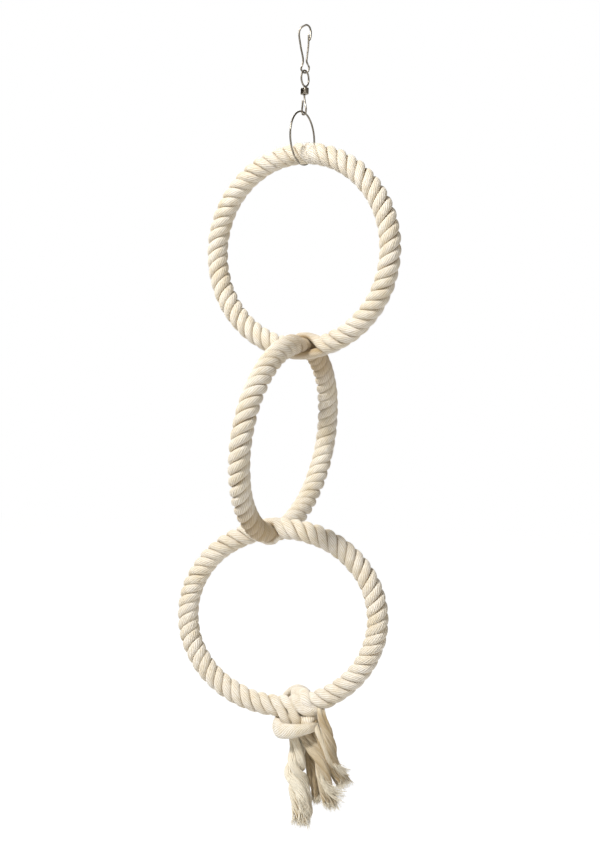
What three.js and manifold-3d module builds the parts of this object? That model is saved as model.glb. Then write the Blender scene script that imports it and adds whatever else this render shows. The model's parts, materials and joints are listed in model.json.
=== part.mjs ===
// Bird rope toy: three rope rings in a chain, hung from a wire snap hook and a box swivel.
// Millimetres, +Z up, +X to the right and +Y to the back of the front view.
// The origin is the inner top of the snap hook's loop, where a stranger's bar or wire carries it.
// Every rope ring is a laid rope round a steel wire core. The middle ring passes through the
// opened strands of the rings above and below it, and the bottom ring is tied off in a knot
// whose four strand ends hang down as tails.

import * as THREE from 'three';
import { mergeVertices } from 'three/addons/utils/BufferGeometryUtils.js';
import Module from 'manifold-3d';

const wasm = await Module();
wasm.setup();

// Driving dimensions: clearances
const gap = 0.3; // between pieces that touch or turn on each other
const eyeSlack = 0.6; // above and below a rope in the opened strands that hold it

// Driving dimensions: wire hardware
const wireDiameter = 1.1;
const hookLoopLeft = 4.45; // centre line of the long leg at its widest
const hookLoopRight = 2.6; // centre line of the nose at its widest
const hookWaistDrop = 21.4; // from the inner top to the narrow waist
const hookWaistLeft = 1.5;
const hookGateWaist = 0.65;
const hookEyeWidth = 4.7; // between the centre lines of the flared lower eye
const hookEyeDrop = 4.5; // from the waist to the widest part of the lower eye
const hookEyeDepth = 2.4; // from there to the bottom of the lower eye
const hookNoseDrop = 9.2; // how far the nose reaches down beside the gate
const gateTipDrop = 5.0;
const upperEyeWidth = 7.9; // between centre lines
const upperEyeHeight = 9.4;
const upperEyeYaw = 56;
const shankHole = 1.7; // holes in the swivel box
const headDiameter = 2.5;
const headThickness = 0.7;
const boxWidth = 4.4;
const boxHeight = 4.2;
const boxDepth = 3.3;
const boxWall = 0.6;
const boxCorner = 0.6;
const boxYaw = -50;
const lowerEyeWidth = 3.7; // between centre lines
const lowerEyeLength = 12.0; // from the swivel box to the bottom centre line
const hangerDiameter = 31.4; // between centre lines
const hangerYaw = 62.6;
const hangerLean = 2.8; // the wire ring hangs a little towards its left front

// Driving dimensions: rope and cores
const ropeDiameter = 13;
const coreDiameter = 2;
const strandWidth = 9.2; // of the opened strands at a crossing
const carryingStrands = 5.2; // thickness of the two strands that keep the core
const singleStrand = 4.6; // thickness of the strand on the other side
const crossingReach = 16; // half the length over which the strands stay open
const crossingFlat = 2;
const crossingSag = 2.4; // from the held rope's centre to the holding ring's centre line
const squeezedRope = 8.8; // diameter of the middle ring where strands grip it
const squeezeReach = 12;
const squeezeFlat = 5.5;
const seatDepth = 1.1; // the hanger's wire presses this far into the rope
const seatReach = 6;

// Driving dimensions: the three rings, measured on the rope's centre line
const topRingDiameter = 116.4;
const topRingYaw = -27;
const topRingLean = -4;
const topRingJoint = 8; // degrees from the top to the butt joint
const middleRingDiameter = 116;
const middleRingYaw = 64.6;
const middleRingLean = -7.5;
const middleRingJoint = 96;
const bottomRingWidth = 120.3;
const bottomRingHeight = 107.4;
const bottomRingYaw = -16;
const bottomRingTurn = 5.8; // the oval's long axis rises this much to the right
const bottomCrossingAngle = -2.2; // where the middle ring's rope passes through it
const knotAngle = 173.7; // degrees from the bottom ring's top to the middle of the knot

// Driving dimensions: knot and tails
const bandDiameter = 7.8; // the strand that binds the knot
const tailDiameter = { left: 7.2, front: 6.8, right: 6.8, back: 5.6 };

// Mesh fineness
const ropeSides = 12;
const boreSides = 6;
const wireSides = 8;
const coarseStep = 8.5;
const fineStep = 2.6;

const wireRadius = wireDiameter / 2;
const ropeRadius = ropeDiameter / 2;
const coreRadius = coreDiameter / 2;
const zUp = new THREE.Vector3(0, 0, 1);

const radians = THREE.MathUtils.degToRad;
const vector = (x, y, z) => new THREE.Vector3(x, y, z);
const heading = (yaw) => vector(Math.cos(radians(yaw)), Math.sin(radians(yaw)), 0);
const blend = (from, to, share) => from + (to - from) * share;

// A soft bump: 1 within flat of its middle, falling to 0 at reach
function bump(distance, flat, reach) {
  const outside = THREE.MathUtils.clamp((Math.abs(distance) - flat) / (reach - flat), 0, 1);
  return Math.cos((outside * Math.PI) / 2) ** 2;
}

// Solids

function toSolid(geometry) {
  const bare = geometry.clone();
  bare.deleteAttribute('normal');
  bare.deleteAttribute('uv');
  const merged = mergeVertices(bare, 1e-4);
  return new wasm.Manifold(new wasm.Mesh({
    numProp: 3,
    vertProperties: new Float32Array(merged.attributes.position.array),
    triVerts: new Uint32Array(merged.index.array),
  }));
}

function toGeometry(solid) {
  const mesh = solid.getMesh();
  const geometry = new THREE.BufferGeometry();
  geometry.setAttribute('position', new THREE.BufferAttribute(mesh.vertProperties, mesh.numProp));
  geometry.setIndex(new THREE.BufferAttribute(mesh.triVerts, 1));
  geometry.computeVertexNormals();
  return geometry;
}

// A body swept through stations, each with a place, a cross direction and two half sizes
function sweep(stations, sides, closed = false) {
  const count = stations.length;
  const positions = [];
  const faces = [];
  const place = (index) => stations[(index + count) % count].at;
  stations.forEach((station, index) => {
    const before = closed || index > 0 ? place(index - 1) : station.at;
    const after = closed || index < count - 1 ? place(index + 1) : station.at;
    const along = after.clone().sub(before).normalize();
    const across = station.across.clone().addScaledVector(along, -station.across.dot(along)).normalize();
    const up = along.clone().cross(across);
    for (let side = 0; side < sides; side += 1) {
      const angle = (side / sides) * 2 * Math.PI;
      const corner = station.at.clone()
        .addScaledVector(across, station.halfAcross * Math.cos(angle))
        .addScaledVector(up, station.halfUp * Math.sin(angle));
      positions.push(...corner.toArray());
    }
  });
  const corner = (index, side) => (index % count) * sides + (side % sides);
  for (let index = 0; index < (closed ? count : count - 1); index += 1) {
    for (let side = 0; side < sides; side += 1) {
      faces.push(corner(index, side), corner(index, side + 1), corner(index + 1, side + 1));
      faces.push(corner(index, side), corner(index + 1, side + 1), corner(index + 1, side));
    }
  }
  if (!closed) {
    const first = positions.length / 3;
    positions.push(...stations[0].at.toArray(), ...stations[count - 1].at.toArray());
    for (let side = 0; side < sides; side += 1) {
      faces.push(first, corner(0, side + 1), corner(0, side));
      faces.push(first + 1, corner(count - 1, side), corner(count - 1, side + 1));
    }
  }
  const geometry = new THREE.BufferGeometry();
  geometry.setAttribute('position', new THREE.Float32BufferAttribute(positions, 3));
  geometry.setIndex(faces);
  geometry.computeVertexNormals();
  return geometry;
}

function roundSection(radius, sides) {
  const corners = Array.from({ length: sides }, (_, side) => {
    const angle = (side / sides) * 2 * Math.PI;
    return new THREE.Vector2(radius * Math.cos(angle), radius * Math.sin(angle));
  });
  return new THREE.Shape(corners);
}

function cordAlong(points, radius, steps, sides = wireSides) {
  const extrudePath = new THREE.CatmullRomCurve3(points, false, 'centripetal');
  return new THREE.ExtrudeGeometry(roundSection(radius, sides), { steps, extrudePath });
}

function cylinderBetween(low, high, radius, sides = 12) {
  const length = high.distanceTo(low);
  const geometry = new THREE.CylinderGeometry(radius, radius, length, sides);
  geometry.rotateX(Math.PI / 2);
  const middle = low.clone().add(high).multiplyScalar(0.5);
  geometry.translate(middle.x, middle.y, middle.z);
  return geometry;
}

// Rings

// The centre line of a rope ring: an upright oval plane with a yaw and a lean
class Ring {
  constructor({ width, height, yaw, lean = 0, turn = 0 }) {
    this.halfWidth = width / 2;
    this.halfHeight = height / 2;
    this.tangent = heading(yaw);
    const back = zUp.clone().cross(this.tangent);
    this.up = zUp.clone().multiplyScalar(Math.cos(radians(lean))).addScaledVector(back, Math.sin(radians(lean)));
    this.normal = this.tangent.clone().cross(this.up).normalize();
    this.right = this.tangent.clone().applyAxisAngle(this.normal, radians(turn));
    this.rise = this.up.clone().applyAxisAngle(this.normal, radians(turn));
    this.centre = vector(0, 0, 0);
    this.meanRadius = (this.halfWidth + this.halfHeight) / 2;
  }

  // Outward direction at an angle that runs clockwise from the top
  outward(angle) {
    return this.right.clone().multiplyScalar(Math.sin(angle) / this.halfWidth)
      .addScaledVector(this.rise, Math.cos(angle) / this.halfHeight).normalize();
  }

  point(angle, offset = 0) {
    return this.centre.clone()
      .addScaledVector(this.right, this.halfWidth * Math.sin(angle))
      .addScaledVector(this.rise, this.halfHeight * Math.cos(angle))
      .addScaledVector(this.outward(angle), offset);
  }

  // Rope length from one angle to another, the short way round
  distance(angle, other) {
    const turn = THREE.MathUtils.euclideanModulo(angle - other + Math.PI, 2 * Math.PI) - Math.PI;
    return turn * this.meanRadius;
  }

  moveSo(angle, target) {
    const shift = target.clone().sub(this.point(angle));
    this.centre.add(shift);
  }
}

// Angles from one to the other, closer together near the features
function ringAngles(ring, from, to, features) {
  const angles = [from];
  while (to - angles.at(-1) > 1e-6) {
    const here = angles.at(-1);
    const close = features.some((feature) => (
      Math.abs(ring.distance(here, feature.angle)) < feature.reach + coarseStep / 2));
    angles.push(Math.min(to, here + (close ? fineStep : coarseStep) / ring.meanRadius));
  }
  if (angles.length > 2 && angles.at(-1) - angles.at(-2) < (0.3 * fineStep) / ring.meanRadius) {
    angles.splice(-2, 1);
  }
  return angles;
}

// How the features shape the rope at an angle: its offset outward and its two half sizes
function ropeAt(ring, features, angle) {
  const shape = { offset: 0, halfAcross: ropeRadius, halfUp: ropeRadius };
  features.forEach((feature) => {
    const share = bump(ring.distance(angle, feature.angle), feature.flat, feature.reach);
    shape.offset += feature.offset * share;
    shape.halfAcross = blend(shape.halfAcross, feature.halfAcross, share);
    shape.halfUp = blend(shape.halfUp, feature.halfUp, share);
  });
  return shape;
}

function ringStations(ring, features, angles, size) {
  return angles.map((angle) => {
    const shape = ropeAt(ring, features, angle);
    return {
      at: ring.point(angle, shape.offset),
      across: ring.normal,
      halfAcross: size ?? shape.halfAcross,
      halfUp: size ?? shape.halfUp,
    };
  });
}

// The rope of a ring: laid rope with a bore for the core, cut at its butt joint, with a second
// strand over each place where another ring passes through it
function ringRope(ring, features, joint) {
  const cut = gap / 2 / ring.meanRadius;
  const angles = ringAngles(ring, joint + cut, joint + 2 * Math.PI - cut, features);
  let rope = toSolid(sweep(ringStations(ring, features, angles), ropeSides));
  features.filter((feature) => feature.otherOffset !== undefined).forEach((feature) => {
    const half = feature.reach / ring.meanRadius;
    const other = [{ ...feature, offset: feature.otherOffset, halfUp: singleStrand / 2 }];
    const span = ringAngles(ring, feature.angle - half, feature.angle + half, [feature]);
    const stations = ringStations(ring, other, span).map((station) => ({
      ...station,
      halfUp: Math.min(station.halfUp, ropeRadius * 0.6),
      halfAcross: Math.min(station.halfAcross, ropeRadius * 0.8),
    }));
    rope = rope.add(toSolid(sweep(stations, ropeSides)));
  });
  const full = ringAngles(ring, joint, joint + 2 * Math.PI, features).slice(0, -1);
  const bore = toSolid(sweep(ringStations(ring, features, full, coreRadius + gap), boreSides, true));
  return toGeometry(rope.subtract(bore));
}

function ringCore(ring, features, joint) {
  const full = ringAngles(ring, joint, joint + 2 * Math.PI, features).slice(0, -1);
  return sweep(ringStations(ring, features, full, coreRadius), boreSides, true);
}

// A place where the ring's strands open round another ring's rope
function crossing(angle, flat = crossingFlat, reach = crossingReach) {
  const coreSide = squeezedRope / 2 + eyeSlack + carryingStrands / 2;
  const otherSide = squeezedRope / 2 + eyeSlack + singleStrand / 2;
  return {
    angle,
    flat,
    reach,
    offset: coreSide - crossingSag,
    otherOffset: -(otherSide + crossingSag),
    halfAcross: strandWidth / 2,
    halfUp: carryingStrands / 2,
  };
}

const squeezed = (angle) => ({
  angle,
  flat: squeezeFlat,
  reach: squeezeReach,
  offset: 0,
  halfAcross: squeezedRope / 2,
  halfUp: squeezedRope / 2,
});

// Places down the chain, each from the piece above it

const hookEyeBottom = -(hookWaistDrop + hookEyeDrop + hookEyeDepth);
const upperEyeTop = hookEyeBottom + wireDiameter + gap;
const upperEyeBottom = upperEyeTop - upperEyeHeight;
const boxTop = upperEyeBottom - wireRadius - gap;
const boxBottom = boxTop - boxHeight;
const lowerEyeBottom = boxBottom - lowerEyeLength;
const hangerTop = vector(0, 0, lowerEyeBottom + wireDiameter + gap);
const hangerRightward = heading(hangerYaw);
const hangerUp = zUp.clone().multiplyScalar(Math.cos(radians(hangerLean)))
  .addScaledVector(hangerRightward, Math.sin(radians(hangerLean)));
const hangerCentre = hangerTop.clone().addScaledVector(hangerUp, -hangerDiameter / 2);
const hangerBottom = hangerTop.clone().addScaledVector(hangerUp, -hangerDiameter);

const topRing = new Ring({
  width: topRingDiameter, height: topRingDiameter, yaw: topRingYaw, lean: topRingLean,
});
const seatedRadius = ropeRadius - seatDepth;
topRing.moveSo(0, hangerBottom.clone().addScaledVector(topRing.up, wireRadius + gap + seatedRadius));

const middleRing = new Ring({
  width: middleRingDiameter, height: middleRingDiameter, yaw: middleRingYaw, lean: middleRingLean,
});
const upperCrossing = topRing.point(Math.PI, -crossingSag);
middleRing.moveSo(0, upperCrossing);

const bottomRing = new Ring({
  width: bottomRingWidth, height: bottomRingHeight, yaw: bottomRingYaw, turn: bottomRingTurn,
});
const lowerCrossing = middleRing.point(Math.PI);
const lowerCrossingAngle = radians(bottomCrossingAngle);
bottomRing.moveSo(lowerCrossingAngle, lowerCrossing.clone()
  .addScaledVector(bottomRing.outward(lowerCrossingAngle), crossingSag));

// Snap hook: one bent wire, whose free leg is the gate

function hookWirePoints() {
  const eyeLeft = -hookWaistLeft - 0.22 * hookEyeWidth;
  const eyeRight = eyeLeft + hookEyeWidth;
  const widest = -(hookWaistDrop + hookEyeDrop);
  const crown = wireRadius;
  return {
    nose: [
      vector(hookLoopRight - 0.75, -1.4, -hookNoseDrop),
      vector(hookLoopRight - 0.15, -1.0, -0.8 * hookNoseDrop),
      vector(hookLoopRight, -0.55, -0.58 * hookNoseDrop),
      vector(hookLoopRight - 0.1, -0.1, -0.33 * hookNoseDrop),
    ],
    crown: [
      vector(0.55 * hookLoopRight, 0, -0.35 * wireDiameter),
      vector(-0.1, 0, crown),
      vector(-0.32 * hookLoopLeft, 0, 0.2 * crown),
      vector(-0.8 * hookLoopLeft, 0, -1.5),
      vector(-hookLoopLeft, 0, -4.4),
    ],
    leg: [
      vector(blend(-hookLoopLeft, -hookWaistLeft, 0.36), 0, -0.55 * hookWaistDrop),
      vector(-hookWaistLeft, 0, -hookWaistDrop),
    ],
    eye: [
      vector(eyeLeft, 0, widest),
      vector(eyeLeft + 0.17 * hookEyeWidth, 0, hookEyeBottom + 0.32 * hookEyeDepth),
      vector((eyeLeft + eyeRight) / 2, 0, hookEyeBottom),
      vector(eyeRight - 0.14 * hookEyeWidth, 0, hookEyeBottom + 0.36 * hookEyeDepth),
      vector(eyeRight, 0, widest + 0.2 * hookEyeDrop),
    ],
    gateFoot: vector(blend(eyeRight, hookGateWaist, 0.45), 0, widest + 0.55 * hookEyeDrop),
  };
}

const hookPoints = hookWirePoints();
const gatePivot = hookPoints.gateFoot.clone();
const gateDirection = vector(hookGateWaist, 0, -hookWaistDrop).sub(gatePivot).normalize();

function hookWire() {
  const end = gatePivot.clone().addScaledVector(gateDirection, -gap / 2);
  const points = [...hookPoints.nose, ...hookPoints.crown, ...hookPoints.leg, ...hookPoints.eye, end];
  return cordAlong(points, wireRadius, 54);
}

function gatePoints() {
  const start = gatePivot.clone().addScaledVector(gateDirection, gap / 2);
  const reach = hookLoopRight - wireDiameter - gap / 2;
  return [
    start,
    vector(hookGateWaist, 0, -hookWaistDrop),
    vector(blend(hookGateWaist, reach, 0.35), 0, -0.81 * hookWaistDrop),
    vector(reach, 0, -0.53 * hookWaistDrop),
    vector(reach - 0.08, 0, -gateTipDrop),
  ];
}

const hookGate = () => cordAlong(gatePoints(), wireRadius, 14);

// Box swivel: a bent strip with a hole in its top and its bottom, and two headed eyes

function headedShank(from, headNear, headFar) {
  return toSolid(cylinderBetween(vector(0, 0, headFar), vector(0, 0, from), wireRadius))
    .add(toSolid(cylinderBetween(vector(0, 0, headFar), vector(0, 0, headNear), headDiameter / 2)));
}

function swivelUpperEye() {
  const across = heading(upperEyeYaw);
  const middle = (upperEyeTop + upperEyeBottom) / 2;
  const normal = across.clone().cross(zUp);
  const stations = Array.from({ length: 28 }, (_, index) => {
    const angle = (index / 28) * 2 * Math.PI;
    return {
      at: vector(0, 0, middle + (upperEyeHeight / 2) * Math.cos(angle))
        .addScaledVector(across, (upperEyeWidth / 2) * Math.sin(angle)),
      across: normal,
      halfAcross: wireRadius,
      halfUp: wireRadius,
    };
  });
  const headNear = boxTop - boxWall - gap;
  const shank = headedShank(upperEyeBottom, headNear, headNear - headThickness);
  return toGeometry(toSolid(sweep(stations, wireSides, true)).add(shank));
}

function swivelBox() {
  const halfWidth = boxWidth / 2;
  const halfHeight = boxHeight / 2;
  const roundedRectangle = (path, half, halfTall, corner) => {
    path.moveTo(-half + corner, -halfTall);
    path.lineTo(half - corner, -halfTall);
    path.absarc(half - corner, -halfTall + corner, corner, -Math.PI / 2, 0);
    path.absarc(half - corner, halfTall - corner, corner, 0, Math.PI / 2);
    path.absarc(-half + corner, halfTall - corner, corner, Math.PI / 2, Math.PI);
    path.absarc(-half + corner, -halfTall + corner, corner, Math.PI, 1.5 * Math.PI);
    return path;
  };
  const strip = roundedRectangle(new THREE.Shape(), halfWidth, halfHeight, boxCorner);
  strip.holes.push(roundedRectangle(
    new THREE.Path(), halfWidth - boxWall, halfHeight - boxWall, boxCorner / 2,
  ));
  const body = new THREE.ExtrudeGeometry(strip, { depth: boxDepth, bevelEnabled: false, curveSegments: 3 });
  body.translate(0, 0, -boxDepth / 2);
  body.rotateX(Math.PI / 2);
  body.rotateZ(radians(boxYaw));
  body.translate(0, 0, (boxTop + boxBottom) / 2);
  const holes = cylinderBetween(vector(0, 0, boxBottom - 1), vector(0, 0, boxTop + 1), shankHole / 2);
  return toGeometry(toSolid(body).subtract(toSolid(holes)));
}

function swivelLowerEye() {
  const across = heading(boxYaw);
  const half = lowerEyeWidth / 2;
  const at = (side, share) => vector(0, 0, blend(boxBottom, lowerEyeBottom, share)).addScaledVector(across, side);
  const hook = cordAlong([
    at(0, -0.05), at(0, 0.14), at(0.45 * half, 0.44), at(half, 0.74), at(0.8 * half, 0.93),
    at(0, 1), at(-0.8 * half, 0.93), at(-half, 0.74), at(-0.82 * half, 0.45), at(-0.86 * half, 0.26),
  ], wireRadius, 30);
  const headNear = boxBottom + boxWall + gap;
  const shank = headedShank(boxBottom - 0.1 * lowerEyeLength, headNear, headNear + headThickness);
  return toGeometry(toSolid(hook).add(shank));
}

// Wire ring between the swivel and the rope

function hangerRing() {
  const geometry = new THREE.TorusGeometry(hangerDiameter / 2, wireRadius, wireSides, 56);
  const facing = hangerRightward.clone().cross(hangerUp).normalize();
  const sideways = hangerUp.clone().cross(facing);
  geometry.applyMatrix4(new THREE.Matrix4().makeBasis(sideways, hangerUp, facing));
  geometry.translate(hangerCentre.x, hangerCentre.y, hangerCentre.z);
  return toGeometry(toSolid(geometry));
}

// Features of each ring's rope

const seat = {
  angle: 0, flat: 0, reach: seatReach, offset: 0, halfAcross: seatedRadius, halfUp: seatedRadius,
};
const topFeatures = [seat, crossing(Math.PI)];
const middleFeatures = [squeezed(0), squeezed(Math.PI)];
const bottomFeatures = [crossing(lowerCrossingAngle, 1.5 * crossingFlat, 1.1 * crossingReach)];
const bottomJoint = radians(knotAngle);

// Knot: a strand laid behind the ring, down its back, round the strand ends and up behind again

const knotCentre = bottomRing.point(bottomJoint);
const knotPlace = (along, back, up) => knotCentre.clone()
  .addScaledVector(bottomRing.tangent, along)
  .addScaledVector(bottomRing.normal, -back)
  .addScaledVector(zUp, up);

const bandRoute = [
  [6.4, 10.9, -2], [2.6, 10.9, 5.6], [-2.6, 10.9, 7.9], [-7.6, 10.9, 5.6], [-11, 10.6, 0.4],
  [-11.8, 9.6, -6.6], [-11.8, 3, -11.9], [-10.8, -4.4, -12.8], [-7.2, -8.8, -14], [-1, -10, -13.6],
  [5, -9.8, -12.4], [9.8, -8.6, -11.2], [12.8, -4.2, -10.6], [12.8, 2.4, -10.4], [10, 8.4, -10.6],
  [4.6, 10.9, -10.7],
];

const alongRoute = (route) => route.map(([along, back, up]) => knotPlace(along, back, up));
const knotBand = () => cordAlong(alongRoute(bandRoute), bandDiameter / 2, 44, 10);

// Tails: the four strand ends, each through the knot and down to its frayed end.
// Points are along the ring, to the back, and up from the knot's middle on the ring.
const tailRoutes = {
  left: [
    [-3, -2, -7.6], [-2.8, -1.9, -11], [-1.4, -1.9, -15.2], [0.6, -1.9, -20.6], [2, -1.9, -25.9],
    [2.1, -1.9, -30.1], [1.1, -1.9, -35.1], [0.9, -1.9, -40], [2.2, -1.9, -44.7], [3.7, -1.9, -49.4],
    [5, -2, -54], [5.9, -1.8, -58.7], [6.1, -1.5, -63.6], [5.7, -1.4, -67], [5.2, -1.3, -70.5],
  ],
  front: [
    [4.8, -2, -7.6], [5, -1.8, -11], [6.4, -2, -14.6], [9.2, -2.4, -18.4], [12.1, -3, -22.3],
    [14.9, -4, -25.9], [16.9, -4.6, -29.1], [18.3, -5, -32.5], [19.3, -5.3, -35.9], [20.2, -5.5, -39.3],
    [21, -5.5, -42.8], [21.8, -5.5, -46.3], [22.6, -5.4, -49.8], [23.2, -5.2, -53.4], [23.6, -5, -57.5],
  ],
  right: [
    [15.8, -3.6, -1.4], [17.4, -6.2, -4.8], [19.6, -8.2, -8.4], [21.6, -9, -11.9], [23, -9.2, -15],
    [23.7, -8.7, -18], [24, -7.7, -21.3], [24.1, -6.3, -24.6], [24.3, -4.8, -27.6], [24.9, -3.3, -30.6],
    [25.7, -2, -33.6], [26.8, -0.8, -36.8], [28, 0, -39.6], [29.2, 0.4, -42.2], [30.2, 0.6, -44.8],
  ],
  back: [
    [0.8, 4, -7.6], [0.8, 4.2, -11.5], [1.3, 4.4, -15.5], [2.8, 4.5, -20], [4.9, 4.6, -24.2],
    [6.7, 4.7, -27.5], [8.4, 4.8, -31], [9.8, 5, -34.6], [10.7, 5.2, -38.4], [11.1, 5.4, -42.2],
    [11.2, 5.4, -46], [11.5, 5.4, -49.4], [11.9, 5.4, -52.4], [12.3, 5.3, -55.2], [12.7, 5.2, -58],
  ],
};

function tail(side) {
  return cordAlong(alongRoute(tailRoutes[side]), tailDiameter[side] / 2, 10, 10);
}

// Assembly

const nickel = new THREE.MeshStandardMaterial({ color: 0xa39c8e, metalness: 1, roughness: 0.28 });
const steel = new THREE.MeshStandardMaterial({ color: 0x8f8d88, metalness: 1, roughness: 0.4 });
const cotton = new THREE.MeshStandardMaterial({ color: 0xefe6d2, metalness: 0, roughness: 0.9 });

const toy = new THREE.Group();

function addPiece(name, geometry, material) {
  const piece = new THREE.Mesh(geometry, material.clone());
  piece.name = name;
  toy.add(piece);
}

addPiece('hook_wire', hookWire(), nickel);
addPiece('hook_gate', hookGate(), nickel);
addPiece('swivel_upper_eye', swivelUpperEye(), nickel);
addPiece('swivel_box', swivelBox(), nickel);
addPiece('swivel_lower_eye', swivelLowerEye(), nickel);
addPiece('hanger_ring', hangerRing(), nickel);

const ropeRings = {
  top: [topRing, topFeatures, radians(topRingJoint)],
  middle: [middleRing, middleFeatures, radians(middleRingJoint)],
  bottom: [bottomRing, bottomFeatures, bottomJoint],
};
Object.entries(ropeRings).forEach(([name, ring]) => {
  addPiece(`ring_${name}_rope`, ringRope(...ring), cotton);
  addPiece(`ring_${name}_core`, ringCore(...ring), steel);
});

addPiece('knot_band', knotBand(), cotton);
Object.keys(tailRoutes).forEach((side) => addPiece(`tail_${side}`, tail(side), cotton));

export default toy;
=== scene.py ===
"""A chain of three rope rings, tied off in a knot with frayed tails, under a wire snap hook.

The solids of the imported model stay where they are. The rope is made again strand by strand, and
the wire hardware is made again smooth. Sizes with MM are in metres. The rings' sizes, the places in
the knot and the tails, and the hardware's own section are in millimetres.
"""
import json
import math

import bpy
import numpy as np
from mathutils import Matrix, Vector


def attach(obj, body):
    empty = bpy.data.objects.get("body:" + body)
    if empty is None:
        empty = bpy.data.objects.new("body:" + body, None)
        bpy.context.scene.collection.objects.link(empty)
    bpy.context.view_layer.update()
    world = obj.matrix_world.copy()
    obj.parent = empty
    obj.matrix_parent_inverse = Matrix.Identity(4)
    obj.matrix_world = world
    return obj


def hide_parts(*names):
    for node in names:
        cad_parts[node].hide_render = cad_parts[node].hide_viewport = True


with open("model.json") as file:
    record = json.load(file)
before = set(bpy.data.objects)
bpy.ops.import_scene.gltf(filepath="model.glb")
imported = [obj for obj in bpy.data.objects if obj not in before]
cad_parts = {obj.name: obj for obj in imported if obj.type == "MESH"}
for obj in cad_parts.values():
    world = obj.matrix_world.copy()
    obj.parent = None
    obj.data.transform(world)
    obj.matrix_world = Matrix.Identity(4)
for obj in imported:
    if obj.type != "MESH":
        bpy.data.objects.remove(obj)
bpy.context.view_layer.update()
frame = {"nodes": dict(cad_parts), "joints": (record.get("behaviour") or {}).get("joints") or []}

MM = 0.001
QUARTER = math.pi / 2
TURN = 2 * math.pi

# Wire hardware

WIRE_RADIUS = 0.55 * MM
GAP = 0.3 * MM
HANGER_YAW = 62.6

# Rope

STRAND_SPIRAL = 3.85 * MM  # from the rope's middle to the middle of a strand
STRAND_HALF_OUT = 2.65 * MM
STRAND_HALF_SIDE = 2.78 * MM
FLATNESS = 2.35  # of a strand's section: 2 gives an ellipse, and more a squarer form
LAY = 20.4 * MM  # rope length in which a strand goes once round
YARNS = 14  # that show round one strand
YARN_DEPTH = 0.32 * MM
YARN_PITCH = -19.5 * MM  # strand length in which a yarn goes once round its strand, against the lay
RING_STEP = 0.5 * MM
STRAND_STEP = 0.62 * MM
CORNERS_PER_YARN = 4
TUBE_SEAM = (0.31, -0.95, 0.05)  # the side on which a thin tube's corners start
# What is kept of a strand at each of its points: its middle line, its outward direction, its half
# thickness and half width, how far it is laid with others and how much painted shade darkens it
STRAND_VALUES = ("line", "away", "out", "side", "laid", "darkening")

# Small irregularities of a strand: how much, and over what length
ANGLE_WANDER = (0.10, 90 * MM)
SPIRAL_WANDER = (0.02, 60 * MM)
OUT_WANDER = (0.03, 25 * MM)
SIDE_WANDER = (0.03, 31 * MM)
STEADY_END = 18 * MM  # they fade out over this length before a strand's ends
WAVES = (1.0, 0.47, 0.23)

# Painted shade on a strand: on its sheltered side, which starts where it faces outward less than so much,
# and in the grooves between its yarns
SHELTER_START, SHELTER_FADE = 0.45, 0.7
SHELTER_DARK, GROOVE_DARK = 0.75, 0.75
TONE_NOISE = 0.2

# Where another ring's strands grip the rope
SQUEEZE_FLAT = 5.5 * MM
SQUEEZE_REACH = 12 * MM
SQUEEZE_HURRY = 0.45  # the lay turns so much faster there
SEATED_RADIUS = 5.4 * MM
# Painted shade on the rope beside each grip: how much, how far it is shifted, and over what lengths it holds
# and fades
SQUEEZE_SHADE = 0.74
SQUEEZE_SHADE_SHIFT = 15 * MM  # the rope's stretch of painted shade lies this far clockwise of where it is gripped
SQUEEZE_SHADE_FLAT = 12 * MM
SQUEEZE_SHADE_REACH = 44 * MM

# A ring's butt joint, where its strands are fused: they lie closer in and swell
JOINT_SPREAD = 7 * MM
JOINT_FLAT = 0.2 * JOINT_SPREAD
JOINT_OVERLAP = 0.5 * MM
FUSED_IN, FUSED_OUT, FUSED_SIDE, FUSED_LAID = 0.14, 0.14, 0.12, 0.8

# Opened strands, where the next ring passes through
CROSSING_SAG = 2.4 * MM
GRIP = 4.3 * MM  # radius of the rope that they hold
EYE_SLACK = 0.2 * MM
EYE_FLAT = 2.5 * MM
EYE_REACH = 14 * MM
EYE_STILL = 0.8 * EYE_REACH  # so far to each side the lay stands still or turns slower
SINGLE_FLAT = 1.2 * MM  # the single strand bends closely round the rope that it holds
SINGLE_REACH = 9.5 * MM
# Of the single strand at the ring's inner side and the pair at its outer side: half thickness, half
# width, how far the held rope gives way, and how far to the side each lies
EYE_STRANDS = {
    "single": (2.1 * MM, 3.5 * MM, 1.5 * MM, 0.0),
    "pair": (2.65 * MM, 3.3 * MM, 0.55 * MM, 2.25 * MM),
}

ROPE_SIZES = {
    "top": {"width": 116.4, "height": 116.4, "yaw": -27, "lean": -4, "joint": 8},
    "middle": {"width": 116, "height": 116, "yaw": 64.6, "lean": -7.5, "joint": 96},
    "bottom": {"width": 120.3, "height": 107.4, "yaw": -16, "turn": 5.8, "joint": 173.7},
}
BOTTOM_CROSSING = math.radians(-2.2)
OVERRUN = 6 * MM  # the bottom ring's strands run on past the knot's middle from its left side
LEFT_FRONT = 9.4 * MM  # left of the knot's middle, where a strand lies at the rope's front
RIGHT_FRONT = 7.2 * MM

joint_places = {joint["name"]: np.array(joint["pos_m"]) for joint in frame["joints"] if "pos_m" in joint}
up = np.array([0.0, 0.0, 1.0])
draw = np.random.default_rng(7)


# Vectors and lines

def unit(vectors):
    return vectors / np.linalg.norm(vectors, axis=-1, keepdims=True)


def dot(first, second):
    return np.sum(first * second, axis=-1, keepdims=True)


def square_to(vectors, along):
    return unit(vectors - along * dot(vectors, along))


def blend(first, second, share):
    return first + (second - first) * share


def nearest(values, wanted):
    return int(np.argmin(np.abs(values - wanted)))


def drawn(first, last):
    """A random number between two"""
    return first + (last - first) * draw.random()


def heading(yaw):
    return np.array([math.cos(math.radians(yaw)), math.sin(math.radians(yaw)), 0.0])


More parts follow.
